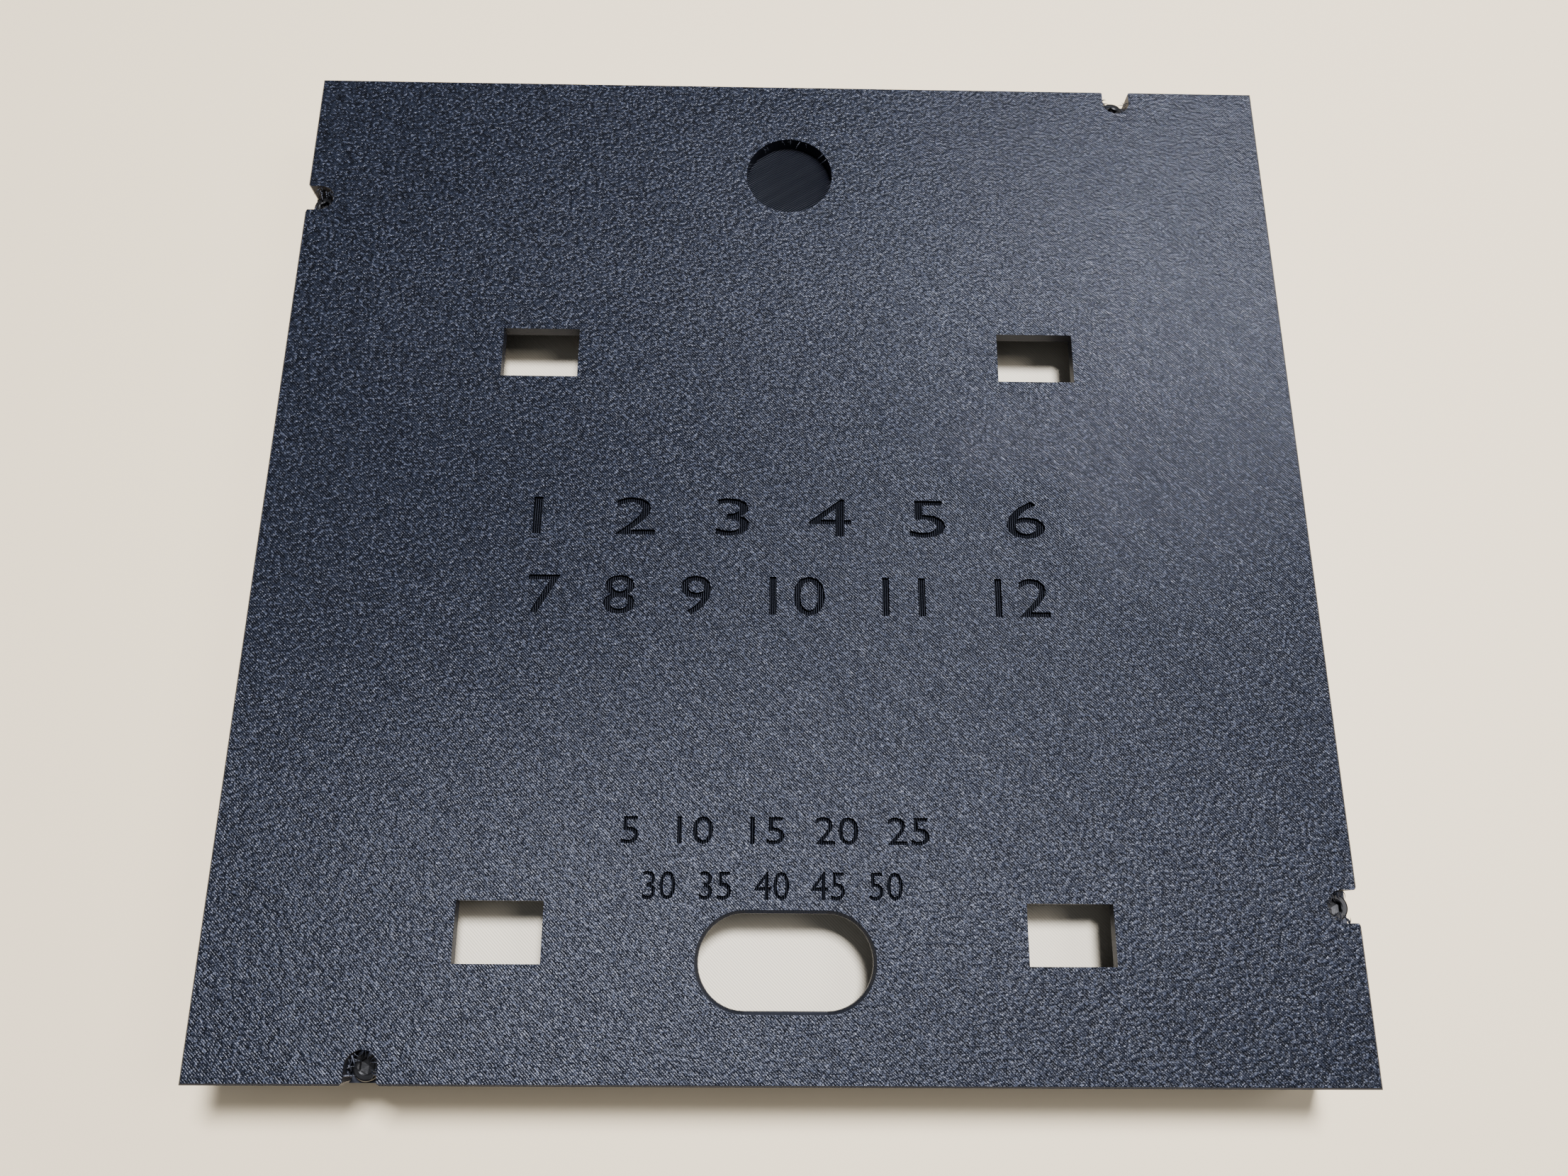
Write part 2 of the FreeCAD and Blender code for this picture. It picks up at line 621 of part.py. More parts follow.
def make_back_cover():
    """The printed cover: skin, skirt, windows, cable slot, hanging pocket, screw pockets."""
    body = outer_block(Z_SPLIT, Z_BACK, Z_BACK)
    body = body.cut(block(INNER_SIDE, INNER_SIDE, Z_SPLIT, Z_SKIN))
    outline = outer_block(Z_SPLIT, Z_BACK, Z_BACK)
    added = []
    cuts = []
    half = POCKET_WIDTH / 2
    for place, outward in pinwheel():
        wall = wall_block(place, outward, half + POCKET_WALL, Z_SPLIT, Z_SKIN + SKIN / 2)
        added.append(wall.common(outline))
        cuts.append(pocket(place, outward, half, Z_POCKET, Z_BACK, POCKET_MOUTH_CHAMFER))
        cuts.append(screw_hole(COVER_SCREW_RADIUS + HOLE_CLEARANCE, Z_SPLIT, Z_POCKET, place))
    pocket_bottom = Z_BACK - HANGER_DEPTH
    boss_radius = HANGER_RADIUS + HANGER_WALL
    added.append(rod(boss_radius, pocket_bottom - HANGER_FLOOR, Z_SKIN + SKIN / 2, 0, HANGER_Y))
    cuts.append(rod(HANGER_RADIUS, pocket_bottom, Z_BACK, 0, HANGER_Y))
    for side_x in (-1, 1):
        for side_y in (-1, 1):
            x = side_x * WINDOW_SPACING_X / 2
            y = WINDOW_PATTERN_Y + side_y * WINDOW_SPACING_Y / 2
            cuts.append(block(WINDOW_WIDTH, WINDOW_HEIGHT, Z_SKIN, Z_BACK, x, y))
    slot = Part.Face(stadium(SLOT_LENGTH, SLOT_WIDTH, Z_SKIN, SLOT_Y))
    cuts.append(slot.extrude(vector(0, 0, SKIN)))
    wide = stadium(SLOT_LENGTH + 2 * SLOT_CHAMFER, SLOT_WIDTH + 2 * SLOT_CHAMFER, Z_BACK, SLOT_Y)
    narrow = stadium(SLOT_LENGTH, SLOT_WIDTH, Z_BACK - SLOT_CHAMFER, SLOT_Y)
    cuts.append(Part.makeLoft([narrow, wide], True, True))
    body = body.fuse(added).removeSplitter()
    for cut in cuts:
        body = body.cut(cut)
    return body


def build():
    """Every piece of the clock by the name of its node."""
    pieces = {
        "housing": make_housing(),
        "letter_plate": make_plate(Z_LETTERS, Z_DIFFUSER),
        "diffuser_sheet": make_plate(Z_DIFFUSER, Z_GRID),
        "light_grid": make_light_grid(),
        "led_carrier": make_carrier(),
        "led_packages": make_lamps(),
        "strip_links": group([make_link(row) for row in range(ROWS - 1)]),
        "strip_connector": make_connector(),
        "back_cover": make_back_cover(),
    }
    for row in range(ROWS):
        pieces["led_strip_%02d" % (row + 1)] = make_strip(row)
    screws = []
    for place, outward in posts():
        screws.append(screw(place, Z_BAY, CARRIER_SCREW_RADIUS, CARRIER_SCREW_LENGTH,
                            CARRIER_SCREW_HEAD_RADIUS, CARRIER_SCREW_HEAD_HEIGHT))
    pieces["carrier_screws"] = group(screws)
    screws = []
    for place, outward in pinwheel():
        screws.append(screw(place, Z_POCKET, COVER_SCREW_RADIUS, COVER_SCREW_LENGTH,
                            COVER_SCREW_HEAD_RADIUS, COVER_SCREW_HEAD_HEIGHT))
    pieces["cover_screws"] = group(screws)
    for name, places in (("controller_screws", controller_screws()), ("junction_screws", junction_screws())):
        screws = []
        for place in places:
            screws.append(screw(place, Z_BOARD_TOP, BOARD_SCREW_RADIUS, BOARD_SCREW_LENGTH - PILOT_CLEARANCE,
                                BOARD_SCREW_HEAD_RADIUS, BOARD_SCREW_HEAD_HEIGHT))
        pieces[name] = group(screws)
    pieces["controller_board"] = make_board(CONTROLLER_WIDTH, CONTROLLER_LENGTH, CONTROLLER_Y, controller_screws())
    pieces["junction_board"] = make_board(JUNCTION_WIDTH, JUNCTION_LENGTH, JUNCTION_Y, junction_screws())
    far_end = CONTROLLER_Y + CONTROLLER_LENGTH / 2
    radio_top = Z_BOARD_TOP + RADIO_THICKNESS
    radio_y = far_end - RADIO_LENGTH / 2
    shield_y = far_end - RADIO_LENGTH + SHIELD_INSET + SHIELD_LENGTH / 2
    pieces["radio_board"] = block(RADIO_WIDTH, RADIO_LENGTH, Z_BOARD_TOP, radio_top, 0, radio_y)
    pieces["radio_shield"] = make_shield(shield_y, radio_top)
    pieces["usb_port_shell"] = make_usb_shell()
    pieces["usb_port_tongue"] = make_usb_tongue()
    chip_y = CONTROLLER_END_Y + BUTTON_FROM_EDGE + 1.5 * CHIP_SIDE
    chip_x = -CHIP_SIDE
    regulator_y = chip_y
    regulator_x = CHIP_SIDE
    pieces["interface_chip"] = block(CHIP_SIDE, CHIP_SIDE, Z_BOARD_TOP, Z_BOARD_TOP + CHIP_HEIGHT, chip_x, chip_y)
    pieces["voltage_regulator"] = block(REGULATOR_WIDTH, REGULATOR_LENGTH, Z_BOARD_TOP,
                                        Z_BOARD_TOP + REGULATOR_HEIGHT, regulator_x, regulator_y)
    for name, side in (("reset_button", -1), ("boot_button", 1)):
        pieces[name + "_case"] = make_button_case(side)
        pieces[name + "_plunger"] = make_plunger(side)
    pieces["smoothing_capacitor"] = make_capacitor(JUNCTION_WIDTH / 6, JUNCTION_Y)
    pieces["data_resistor"] = block(RESISTOR_LENGTH, RESISTOR_WIDTH, Z_BOARD_TOP,
                                    Z_BOARD_TOP + RESISTOR_HEIGHT, -JUNCTION_WIDTH / 6, JUNCTION_Y)
    for step, wire in ((-1, "power"), (0, "data"), (1, "ground")):
        pieces["supply_lead_" + wire] = make_lead(supply_route(), SUPPLY_BEND_RADIUS, step)
        pieces["feed_lead_" + wire] = make_lead(feed_route(), FEED_BEND_RADIUS, step)
    return pieces


os.makedirs("parts", exist_ok=True)
for node, shape in build().items():
    shape.exportStep("parts/" + node + ".step")
    kinds = "ok" if shape.isValid() else "INVALID"
    print(node, len(shape.Solids), "solids", round(shape.Volume, 2), "mm3", kinds)
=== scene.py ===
# %% [markdown]
# # A word clock, closed and lying on its face
#
# The back of this clock is a square printed cover, and that is what the camera sees. The packed
# solids come in as a fixed frame: every piece is already at its real size and place. Nothing is
# moved or scaled here, because then the looks would no longer match the solids. This file gives
# each piece its finish, and replaces the few pieces whose fine shape the solids leave out.

# %% Load the frame
import json
import math

import bmesh
import bpy
import numpy as np
from mathutils import Matrix, Vector


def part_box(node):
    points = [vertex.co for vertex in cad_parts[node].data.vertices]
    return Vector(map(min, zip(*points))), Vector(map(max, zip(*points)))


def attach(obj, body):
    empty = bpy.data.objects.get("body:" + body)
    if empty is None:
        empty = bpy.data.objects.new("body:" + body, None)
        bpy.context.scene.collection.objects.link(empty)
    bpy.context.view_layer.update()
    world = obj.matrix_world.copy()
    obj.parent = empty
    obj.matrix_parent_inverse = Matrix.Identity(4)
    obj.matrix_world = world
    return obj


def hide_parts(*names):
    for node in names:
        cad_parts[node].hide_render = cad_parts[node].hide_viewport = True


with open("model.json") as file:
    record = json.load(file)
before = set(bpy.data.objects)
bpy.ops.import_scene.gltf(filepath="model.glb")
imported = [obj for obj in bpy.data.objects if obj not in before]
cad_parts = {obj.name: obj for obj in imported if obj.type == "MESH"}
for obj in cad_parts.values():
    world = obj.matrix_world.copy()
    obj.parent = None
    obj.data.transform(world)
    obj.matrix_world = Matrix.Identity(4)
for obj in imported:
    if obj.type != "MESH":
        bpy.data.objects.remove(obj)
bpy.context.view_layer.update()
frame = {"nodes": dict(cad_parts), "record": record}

nodes = frame["nodes"]
MM = 0.001
print("pieces in the frame:", len(nodes))

# %% [markdown]
# ## Measures
#
# The heights and widths used below could be typed in, but a scene that sits round solids should
# never guess where they are. They are read from the solids' own boxes, so the dressing follows
# when a solid changes.

# %% Read the clock's own measures
cover_low, cover_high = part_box("back_cover")
SIDE = cover_high.x - cover_low.x
BACK = cover_high.z
print("side %.1f mm, back %.1f mm above the floor" % (SIDE / MM, BACK / MM))

# %% [markdown]
# ## Camera
#
# The photograph was taken from almost straight above, from the side where the cable slot is. Its
# place was worked out from the square outline: four corners of a known square give the lens and
# the place of the eye. The place is kept as shares of the cover's side from its lower left
# corner. A camera could be turned by three angles. Two directions are easier to check: its line
# of sight, and the way its image's right side points, because it was held a little askew.

# %% Camera
EYE_SHARES = Vector((0.48084, 0.10648, 1.05638))
SIGHT = Vector((0.01443, 0.29574, -0.95516))
IMAGE_RIGHT = Vector((0.99985, 0.00522, 0.01672))
IMAGE_WIDTH = 2212
FOCAL_PIXELS = 1665.0
SENSOR_WIDTH = 36.0

camera_data = bpy.data.cameras.new("camera")
camera_data.sensor_width = SENSOR_WIDTH
camera_data.lens = FOCAL_PIXELS / IMAGE_WIDTH * SENSOR_WIDTH
camera_data.clip_start = 0.01
camera_data.clip_end = 10.0
camera = bpy.data.objects.new("camera", camera_data)
bpy.context.scene.collection.objects.link(camera)
eye = Vector((cover_low.x, cover_low.y, BACK)) + EYE_SHARES * SIDE
image_up = IMAGE_RIGHT.cross(SIGHT)
turn = Matrix((IMAGE_RIGHT, image_up, -SIGHT)).transposed().to_4x4()
camera.matrix_world = Matrix.Translation(eye) @ turn
bpy.context.scene.camera = camera
print("lens %.1f mm" % camera_data.lens)

# %% [markdown]
# ## Shader helpers
#
# A material is a small graph of nodes. Wiring it by hand takes many lines that all say the same,
# so these helpers add a node, set its values and join its sockets in one call.

# %% Node helpers
class Graph:
    """Adds nodes to one node tree. An input is a number or another node's socket."""

    def __init__(self, tree):
        self.tree = tree

    def node(self, kind, inputs=None, **values):
        made = self.tree.nodes.new(kind)
        for name, value in values.items():
            setattr(made, name, value)
        for key, value in (inputs or {}).items():
            if isinstance(value, bpy.types.NodeSocket):
                self.tree.links.new(value, made.inputs[key])
            else:
                made.inputs[key].default_value = value
        return made

    def math(self, operation, a, b=0.0):
        return self.node("ShaderNodeMath", {0: a, 1: b}, operation=operation).outputs[0]

    def parts(self, vector):
        """The X, Y and Z of a vector."""
        return self.node("ShaderNodeSeparateXYZ", {0: vector}).outputs

    def noise(self, place, scale, detail=2.0, roughness=0.5):
        inputs = {"Vector": place, "Scale": scale, "Detail": detail, "Roughness": roughness}
        return self.node("ShaderNodeTexNoise", inputs).outputs["Fac"]

    def between(self, value, low, high, out_low=0.0, out_high=1.0):
        """The value's place between low and high, on a scale from out_low to out_high."""
        inputs = {0: value, 1: low, 2: high, 3: out_low, 4: out_high}
        return self.node("ShaderNodeMapRange", inputs, clamp=True).outputs[0]

    def mix(self, factor, a, b):
        """Number a where the factor is 0 and b where it is 1."""
        return self.node("ShaderNodeMix", {0: factor, 2: a, 3: b}).outputs[0]

    def blend(self, factor, a, b):
        """The same for colours, which are inputs 6 and 7 of the same node."""
        return self.node("ShaderNodeMix", {0: factor, 6: a, 7: b}, data_type="RGBA").outputs[2]


# %% Group and material helpers
def new_group(name, inputs, outputs):
    """A shader node group with number inputs and outputs. Each input has its own first value."""
    tree = bpy.data.node_groups.new(name, "ShaderNodeTree")
    for label, kind, value in inputs:
        socket = tree.interface.new_socket(label, in_out="INPUT", socket_type=kind)
        socket.default_value = value
    for label, kind in outputs:
        tree.interface.new_socket(label, in_out="OUTPUT", socket_type=kind)
    graph = Graph(tree)
    return tree, graph, graph.node("NodeGroupInput"), graph.node("NodeGroupOutput")


def use_group(graph, tree, **inputs):
    """Places a group in a material with values of its own, and returns its outputs."""
    return graph.node("ShaderNodeGroup", inputs, node_tree=tree).outputs


def join(graph, output, socket):
    graph.tree.links.new(output, socket)


def new_material(name, color, roughness, metallic=0.0, **shader):
    """A material with one Principled shader. Returns the material, its graph and the shader."""
    material = bpy.data.materials.new(name)
    material.use_nodes = True
    graph = Graph(material.node_tree)
    bsdf = material.node_tree.nodes["Principled BSDF"]
    bsdf.inputs["Base Color"].default_value = (*color, 1.0)
    bsdf.inputs["Roughness"].default_value = roughness
    bsdf.inputs["Metallic"].default_value = metallic
    for label, value in shader.items():
        bsdf.inputs[label.replace("_", " ")].default_value = value
    return material, graph, bsdf


def object_place(graph):
    return graph.node("ShaderNodeTexCoord").outputs["Object"]


def bump(graph, bsdf, height, distance):
    """Turns a height, in shares of distance, into a tilt of the surface."""
    made = graph.node("ShaderNodeBump", {"Height": height, "Distance": distance})
    join(graph, made.outputs["Normal"], bsdf.inputs["Normal"])


# %% [markdown]
# ## The marks of a printer
#
# A printed face is never smooth. The outer face lay on a plate with a pebbled coat, so it carries
# pebbles less than a millimetre wide, and under them run the plastic's own lines, side by side at
# a steady pitch and at 45 degrees. The walls show the layers instead, one above the other. Each
# effect could be an image, but then its grain would have one size for good. As a group of nodes it
# is built once, and several materials use it with values of their own.

# %% Node group: lines of plastic laid side by side
def build_print_lines():
    """Height of round ridges side by side.

    A point's distance across the lines is x cos(turn) + y sin(turn). Divided by the pitch, its
    part after the point runs from 0 to 1 over each line, and sin(pi times that part) is a ridge.
    A noise bends the lines a little, and a random number for each line makes some lie lower.
    """
    inputs = [("Place", "NodeSocketVector", (0, 0, 0)), ("Turn", "NodeSocketFloat", 0.785),
              ("Pitch", "NodeSocketFloat", 0.0004), ("Wander", "NodeSocketFloat", 0.15)]
    bends_a_metre = 500.0
    lowest_line = 0.75
    tree, g, start, end = new_group("print_lines", inputs, [("Height", "NodeSocketFloat")])
    x, y, _ = g.parts(start.outputs["Place"])
    along_x = g.math("MULTIPLY", x, g.math("COSINE", start.outputs["Turn"]))
    along_y = g.math("MULTIPLY", y, g.math("SINE", start.outputs["Turn"]))
    across = g.math("DIVIDE", g.math("ADD", along_x, along_y), start.outputs["Pitch"])
    bends = g.noise(start.outputs["Place"], bends_a_metre)
    wander = g.math("MULTIPLY", bends, start.outputs["Wander"])
    across = g.math("ADD", across, wander)
    ridge = g.math("SINE", g.math("MULTIPLY", g.math("FRACT", across), math.pi))
    line_number = g.math("FLOOR", across)
    chance = g.node("ShaderNodeTexWhiteNoise", {"W": line_number}, noise_dimensions="1D").outputs[0]
    level = g.between(chance, 0.0, 1.0, lowest_line, 1.0)
    join(g, g.math("MULTIPLY", ridge, level), end.inputs["Height"])
    return tree


# %% Node group: pebbles of the coated plate
def build_plate_pebbles():
    """Height of rounded pebbles, a mask of the few facets that catch the light, and broad patches.

    Height = a times a large noise, cut off below and above its middle, plus (1 - a) times a finer
    noise. The large one is stretched along the print lines. The facets are the top few percent of
    a third noise, and the patches are a slow fourth one, a few centimetres wide.
    """
    inputs = [("Place", "NodeSocketVector", (0, 0, 0)), ("Size", "NodeSocketFloat", 0.0006)]
    outputs = [("Height", "NodeSocketFloat"), ("Glint", "NodeSocketFloat"),
               ("Patch", "NodeSocketFloat")]
    stretch = (0.75, 1.0, 1.0)
    large_share = 0.55
    finer, facet_finer = 2.3, 1.5
    patches_a_metre = 22.0
    tree, g, start, end = new_group("plate_pebbles", inputs, outputs)
    place = start.outputs["Place"]
    turned = g.node("ShaderNodeMapping", {"Vector": place, "Rotation": (0, 0, math.radians(45)),
                                          "Scale": stretch}).outputs[0]
    scale = g.math("DIVIDE", 1.0, start.outputs["Size"])
    large = g.between(g.noise(turned, scale, 2.0, 0.55), 0.38, 0.62)
    fine = g.noise(place, g.math("MULTIPLY", scale, finer), 1.0)
    height = g.math("ADD", g.math("MULTIPLY", large, large_share),
                    g.math("MULTIPLY", fine, 1.0 - large_share))
    facet = g.noise(turned, g.math("MULTIPLY", scale, facet_finer), 0.0)
    patch = g.noise(place, patches_a_metre, 3.0)
    join(g, height, end.inputs["Height"])
    join(g, g.between(facet, 0.63, 0.72), end.inputs["Glint"])
    join(g, g.between(patch, 0.35, 0.65), end.inputs["Patch"])
    return tree


# %% Node group: layers of a printed wall
def build_wall_layers():
    """Height of the layers on an upright wall: a |sin(pi z / layer)| + b times a noise.

    The noise is drawn out along the layers, so it reads as strands and not as grain.
    """
    inputs = [("Place", "NodeSocketVector", (0, 0, 0)), ("Layer", "NodeSocketFloat", 0.0002)]
    strand = (60, 60, 4000)
    ridge_share, strand_share = 0.7, 0.6
    tree, g, start, end = new_group("wall_layers", inputs, [("Height", "NodeSocketFloat")])
    _, _, z = g.parts(start.outputs["Place"])
    turns = g.math("MULTIPLY", g.math("DIVIDE", z, start.outputs["Layer"]), math.pi)
    ridge = g.math("ABSOLUTE", g.math("SINE", turns))
    drawn_out = g.node("ShaderNodeMapping", {"Vector": start.outputs["Place"], "Scale": strand})
    strands = g.noise(drawn_out.outputs[0], 1.0, 2.0)
    height = g.math("ADD", g.math("MULTIPLY", ridge, ridge_share),
                    g.math("MULTIPLY", strands, strand_share))
    join(g, height, end.inputs["Height"])
    return tree


PRINT_LINES = build_print_lines()
PLATE_PEBBLES = build_plate_pebbles()
WALL_LAYERS = build_wall_layers()
print("node groups:", [tree.name for tree in (PRINT_LINES, PLATE_PEBBLES, WALL_LAYERS)])

# %% [markdown]
# ## Cover plastic
#
# The cover is a dark slate plastic with a blue cast and a dull shine. Up close each pebble has a
# lit side and a dark side, and a few facets flash white. Pebbles as real faces would be millions of
# triangles, so they and the lines go into one height that tilts the surface. The same height also
# paints shade into the colour of the gaps and light onto the pebble tops, and the flashing facets
# get a painted highlight, so the grain shows where the light is even. The roughness changes a
# little from patch to patch. It stays above 0.28: a render's denoiser takes smoother faces for
# mirrors and wipes their grain out.

# %% Material: outer face of the cover
SLATE = (0.004, 0.005, 0.009)
# Painted shade for the gaps, painted light for the pebble tops and a painted highlight for the
# facets.
SLATE_PAINTED_GAP_SHADE = (0.0006, 0.0008, 0.0016)
SLATE_PAINTED_LIT_TOP = (0.0095, 0.0120, 0.0215)
SLATE_PAINTED_GLINT = (0.0420, 0.0480, 0.0720)
SLATE_GLOSS = (0.80, 0.83, 1.0, 1.0)
FIRST_LAYER_PITCH = 0.377 * MM
BRIDGE_PITCH = 0.403 * MM
PEBBLE_SIZE = 0.68 * MM
PEBBLE_DEPTH = 0.18 * MM
CLEAR_LINES_Y = -8.0 * MM
CLEAR_LINES_REACH = (15.0 * MM, 60.0 * MM)
LINE_SHARES = (0.42, 0.26)
FACE_ROUGHNESS = (0.30, 0.34)
GLINT_POLISH = 0.015


def slate_face():
    """Pebbles over print lines. The lines are clearest in a band across the cover's middle."""
    material, g, bsdf = new_material("cover_face", SLATE, 0.3,
                                     Specular_Tint=SLATE_GLOSS, Specular_IOR_Level=0.3)
    place = object_place(g)
    pebbles = use_group(g, PLATE_PEBBLES, Place=place, Size=PEBBLE_SIZE)
    lines = use_group(g, PRINT_LINES, Place=place, Turn=math.radians(45), Pitch=FIRST_LAYER_PITCH)
    _, y, _ = g.parts(place)
    from_band = g.math("ABSOLUTE", g.math("ADD", y, -CLEAR_LINES_Y))
    share = g.between(from_band, *CLEAR_LINES_REACH, *LINE_SHARES)
    height = g.mix(share, pebbles["Height"], lines["Height"])
    # Painted shade and light: the gaps get a darker colour and the pebble tops a lighter one.
    color = g.blend(g.between(height, 0.25, 0.85), (*SLATE_PAINTED_GAP_SHADE, 1), (*SLATE_PAINTED_LIT_TOP, 1))
    # Painted highlight: the facets that catch the light get a pale colour.
    color = g.blend(pebbles["Glint"], color, (*SLATE_PAINTED_GLINT, 1))
    join(g, color, bsdf.inputs["Base Color"])
    patches = g.between(pebbles["Patch"], 0, 1, *FACE_ROUGHNESS)
    rough = g.math("SUBTRACT", patches, g.math("MULTIPLY", pebbles["Glint"], GLINT_POLISH))
    join(g, rough, bsdf.inputs["Roughness"])
    bump(g, bsdf, height, PEBBLE_DEPTH)
    return material


# %% Materials: walls and bridges of the cover
def slate_wall():
    """The same plastic on upright walls, where the layers show."""
    material, g, bsdf = new_material("cover_wall", SLATE, 0.5, Specular_Tint=SLATE_GLOSS)
    layers = use_group(g, WALL_LAYERS, Place=object_place(g))
    bump(g, bsdf, layers["Height"], 0.05 * MM)
    return material


def slate_bridges(name, turn, pitch, roughness, depth):
    """The same plastic where lines span a hollow side by side, with no plate under them."""
    material, g, bsdf = new_material(name, SLATE, roughness,
                                     Specular_Tint=SLATE_GLOSS, Specular_IOR_Level=0.25)
    lines = use_group(g, PRINT_LINES, Place=object_place(g), Turn=turn, Pitch=pitch, Wander=0.35)
    bump(g, bsdf, lines["Height"], depth)
    # Painted shade: the hollows between the bridged lines get a darker colour.
    shade = g.blend(lines["Height"], (*SLATE_PAINTED_GAP_SHADE, 1), (*SLATE, 1))
    join(g, shade, bsdf.inputs["Base Color"])
    return material


cover_face = slate_face()
cover_wall = slate_wall()
pocket_bridges = slate_bridges("pocket_bridges", math.radians(124), BRIDGE_PITCH, 0.30, 0.25 * MM)
groove_bridges = slate_bridges("groove_bridges", 0.0, BRIDGE_PITCH, 0.38, 0.45 * MM)
COVER_MATERIALS = [cover_face, cover_wall, pocket_bridges, groove_bridges]
print("cover materials:", [material.name for material in COVER_MATERIALS])

# %% [markdown]
# ## Back cover
#
# The solid already has the windows, the slot, the round pocket and the screw pockets. What it
# leaves out is the engraving: the hours of a dial in two rows, and the minutes in fives in two
# smaller rows. It could be painted on with a bump, but real edges catch the light and stay in the
# mesh. So a text object is turned into a mesh and thickened into a cutter, and a Boolean takes it
# out of a merged copy of the cover.

# %% Engraved rows: words, height, place and width
ENGRAVING_DEPTH = 0.7 * MM
ENGRAVED_ROWS = [
    ("1  2  3  4  5  6", 7.6 * MM, 0.4 * MM, 0.8 * MM, 97 * MM),
    ("7  8  9  10  11  12", 7.6 * MM, 0.4 * MM, -14.7 * MM, 97 * MM),
    ("5  10  15  20  25", 4.8 * MM, -1.9 * MM, -57.6 * MM, 54 * MM),
    ("30  35  40  45  50", 4.8 * MM, -2.3 * MM, -67.0 * MM, 45 * MM),
]
CURVE_STEPS = 3


# %% Text as a solid mesh
def mesh_of(holder):
    """The mesh of an object with its curve thickened or its modifiers applied."""
    depsgraph = bpy.context.evaluated_depsgraph_get()
    return bpy.data.meshes.new_from_object(holder.evaluated_get(depsgraph))


def text_mesh(words, height, width):
    """The mesh of a line of text and its points, centred, as high and as wide as asked."""
    curve = bpy.data.curves.new("row", "FONT")
    curve.body = words
    curve.resolution_u = CURVE_STEPS
    curve.fill_mode = "BOTH"
    curve.extrude = 0.5
    holder = bpy.data.objects.new("row", curve)
    bpy.context.scene.collection.objects.link(holder)
    mesh = mesh_of(holder)
    bpy.data.objects.remove(holder)
    points = np.empty(len(mesh.vertices) * 3)
    mesh.vertices.foreach_get("co", points)
    points = points.reshape(-1, 3)
    low, high = points.min(0), points.max(0)
    points -= (low + high) / 2
    points[:, 0] *= width / (high[0] - low[0])
    points[:, 1] *= height / (high[1] - low[1])
    return mesh, points


# %% Cutters and merged copies
def finished_mesh(bm, name, merge, outwards=True):
    """The mesh of a bmesh: points nearer than merge become one, and faces are turned outwards."""
    bmesh.ops.remove_doubles(bm, verts=bm.verts, dist=merge)
    if outwards:
        bmesh.ops.recalc_face_normals(bm, faces=bm.faces)
    made = bpy.data.meshes.new(name)
    bm.to_mesh(made)
    bm.free()
    return made


def add_text(bm, words, height, width, place, z_low, z_high, x_scale=1.0):
    """Adds a line of text at a place, standing from z_low to z_high, its X scaled or mirrored."""
    mesh, points = text_mesh(words, height, width)
    points[:, 0] = points[:, 0] * x_scale + place[0]
    points[:, 1] += place[1]
    points[:, 2] = np.where(points[:, 2] > 0, z_high, z_low)
    mesh.vertices.foreach_set("co", points.ravel())
    bm.from_mesh(mesh)


def row_cutter(z_low, z_high):
    """One closed mesh of all the engraved rows."""
    bm = bmesh.new()
    for words, height, x, y, width in ENGRAVED_ROWS:
        add_text(bm, words, height, width, (x, y), z_low, z_high)
    return finished_mesh(bm, "digits", 1e-6)


def merged_copy(node, name):
    """A CAD node's mesh with its loose triangles joined. They already point the right way."""
    bm = bmesh.new()
    bm.from_mesh(nodes[node].data)
    return finished_mesh(bm, name, 1e-7, outwards=False)


def add_piece(name, mesh, body, materials, replaced=()):
    """Puts a finished mesh into the scene, on its body and materials."""
    made = bpy.data.objects.new(name, mesh)
    bpy.context.scene.collection.objects.link(made)
    for material in materials:
        mesh.materials.append(material)
    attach(made, body)
    if replaced:
        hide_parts(*replaced)
    print(name, len(mesh.polygons), "faces")
    return made


# %% Boolean cut
def carve(mesh, tool_mesh):
    """The mesh with the tool's volume taken out."""
    body = bpy.data.objects.new("carved", mesh)
    tool = bpy.data.objects.new("tool", tool_mesh)
    for each in (body, tool):
        bpy.context.scene.collection.objects.link(each)
    cut = body.modifiers.new("cut", "BOOLEAN")
    cut.operation = "DIFFERENCE"
    cut.solver = "EXACT"
    cut.use_self = True
    cut.object = tool
    result = mesh_of(body)
    bpy.data.objects.remove(body)
    bpy.data.objects.remove(tool)
    return result


def face_facts(mesh):
    """Centres and normals of all faces as arrays."""
    count = len(mesh.polygons)
    centres = np.empty(count * 3)
    normals = np.empty(count * 3)
    mesh.polygons.foreach_get("center", centres)
    mesh.polygons.foreach_get("normal", normals)
    return centres.reshape(-1, 3), normals.reshape(-1, 3)


def near(values, target, reach=0.02 * MM):
    return np.abs(values - target) < reach


# %% Cut the cover and give each kind of face its material
HANGER_DEPTH = 3.0 * MM
FACE, WALL, POCKET, GROOVE = range(len(COVER_MATERIALS))
digits = row_cutter(BACK - ENGRAVING_DEPTH, BACK + 1.0 * MM)
cover_mesh = carve(merged_copy("back_cover", "back_cover_print"), digits)
centres, normals = face_facts(cover_mesh)
looks_up = normals[:, 2] > 0.9
kinds = np.full(len(centres), WALL)
kinds[near(centres[:, 2], BACK)] = FACE
kinds[near(centres[:, 2], BACK - HANGER_DEPTH) & looks_up] = POCKET
kinds[near(centres[:, 2], BACK - ENGRAVING_DEPTH) & looks_up] = GROOVE
add_piece("back_cover_print", cover_mesh, "cover", COVER_MATERIALS, ["back_cover"])
cover_mesh.polygons.foreach_set("material_index", kinds)
print("face kinds:", np.bincount(kinds))

# %% [markdown]
# ## Tubes and turned shapes
#
# The small parts that follow are strings, screws, legs and rings. They could be built one by one
# with Blender's own shapes, but all of them are grids: rings of points, one ring after the other.
# One helper joins the rings with four-sided faces, for any number of equal pieces at once, and
# merges the rings that have shrunk to a point, so both ends are closed.

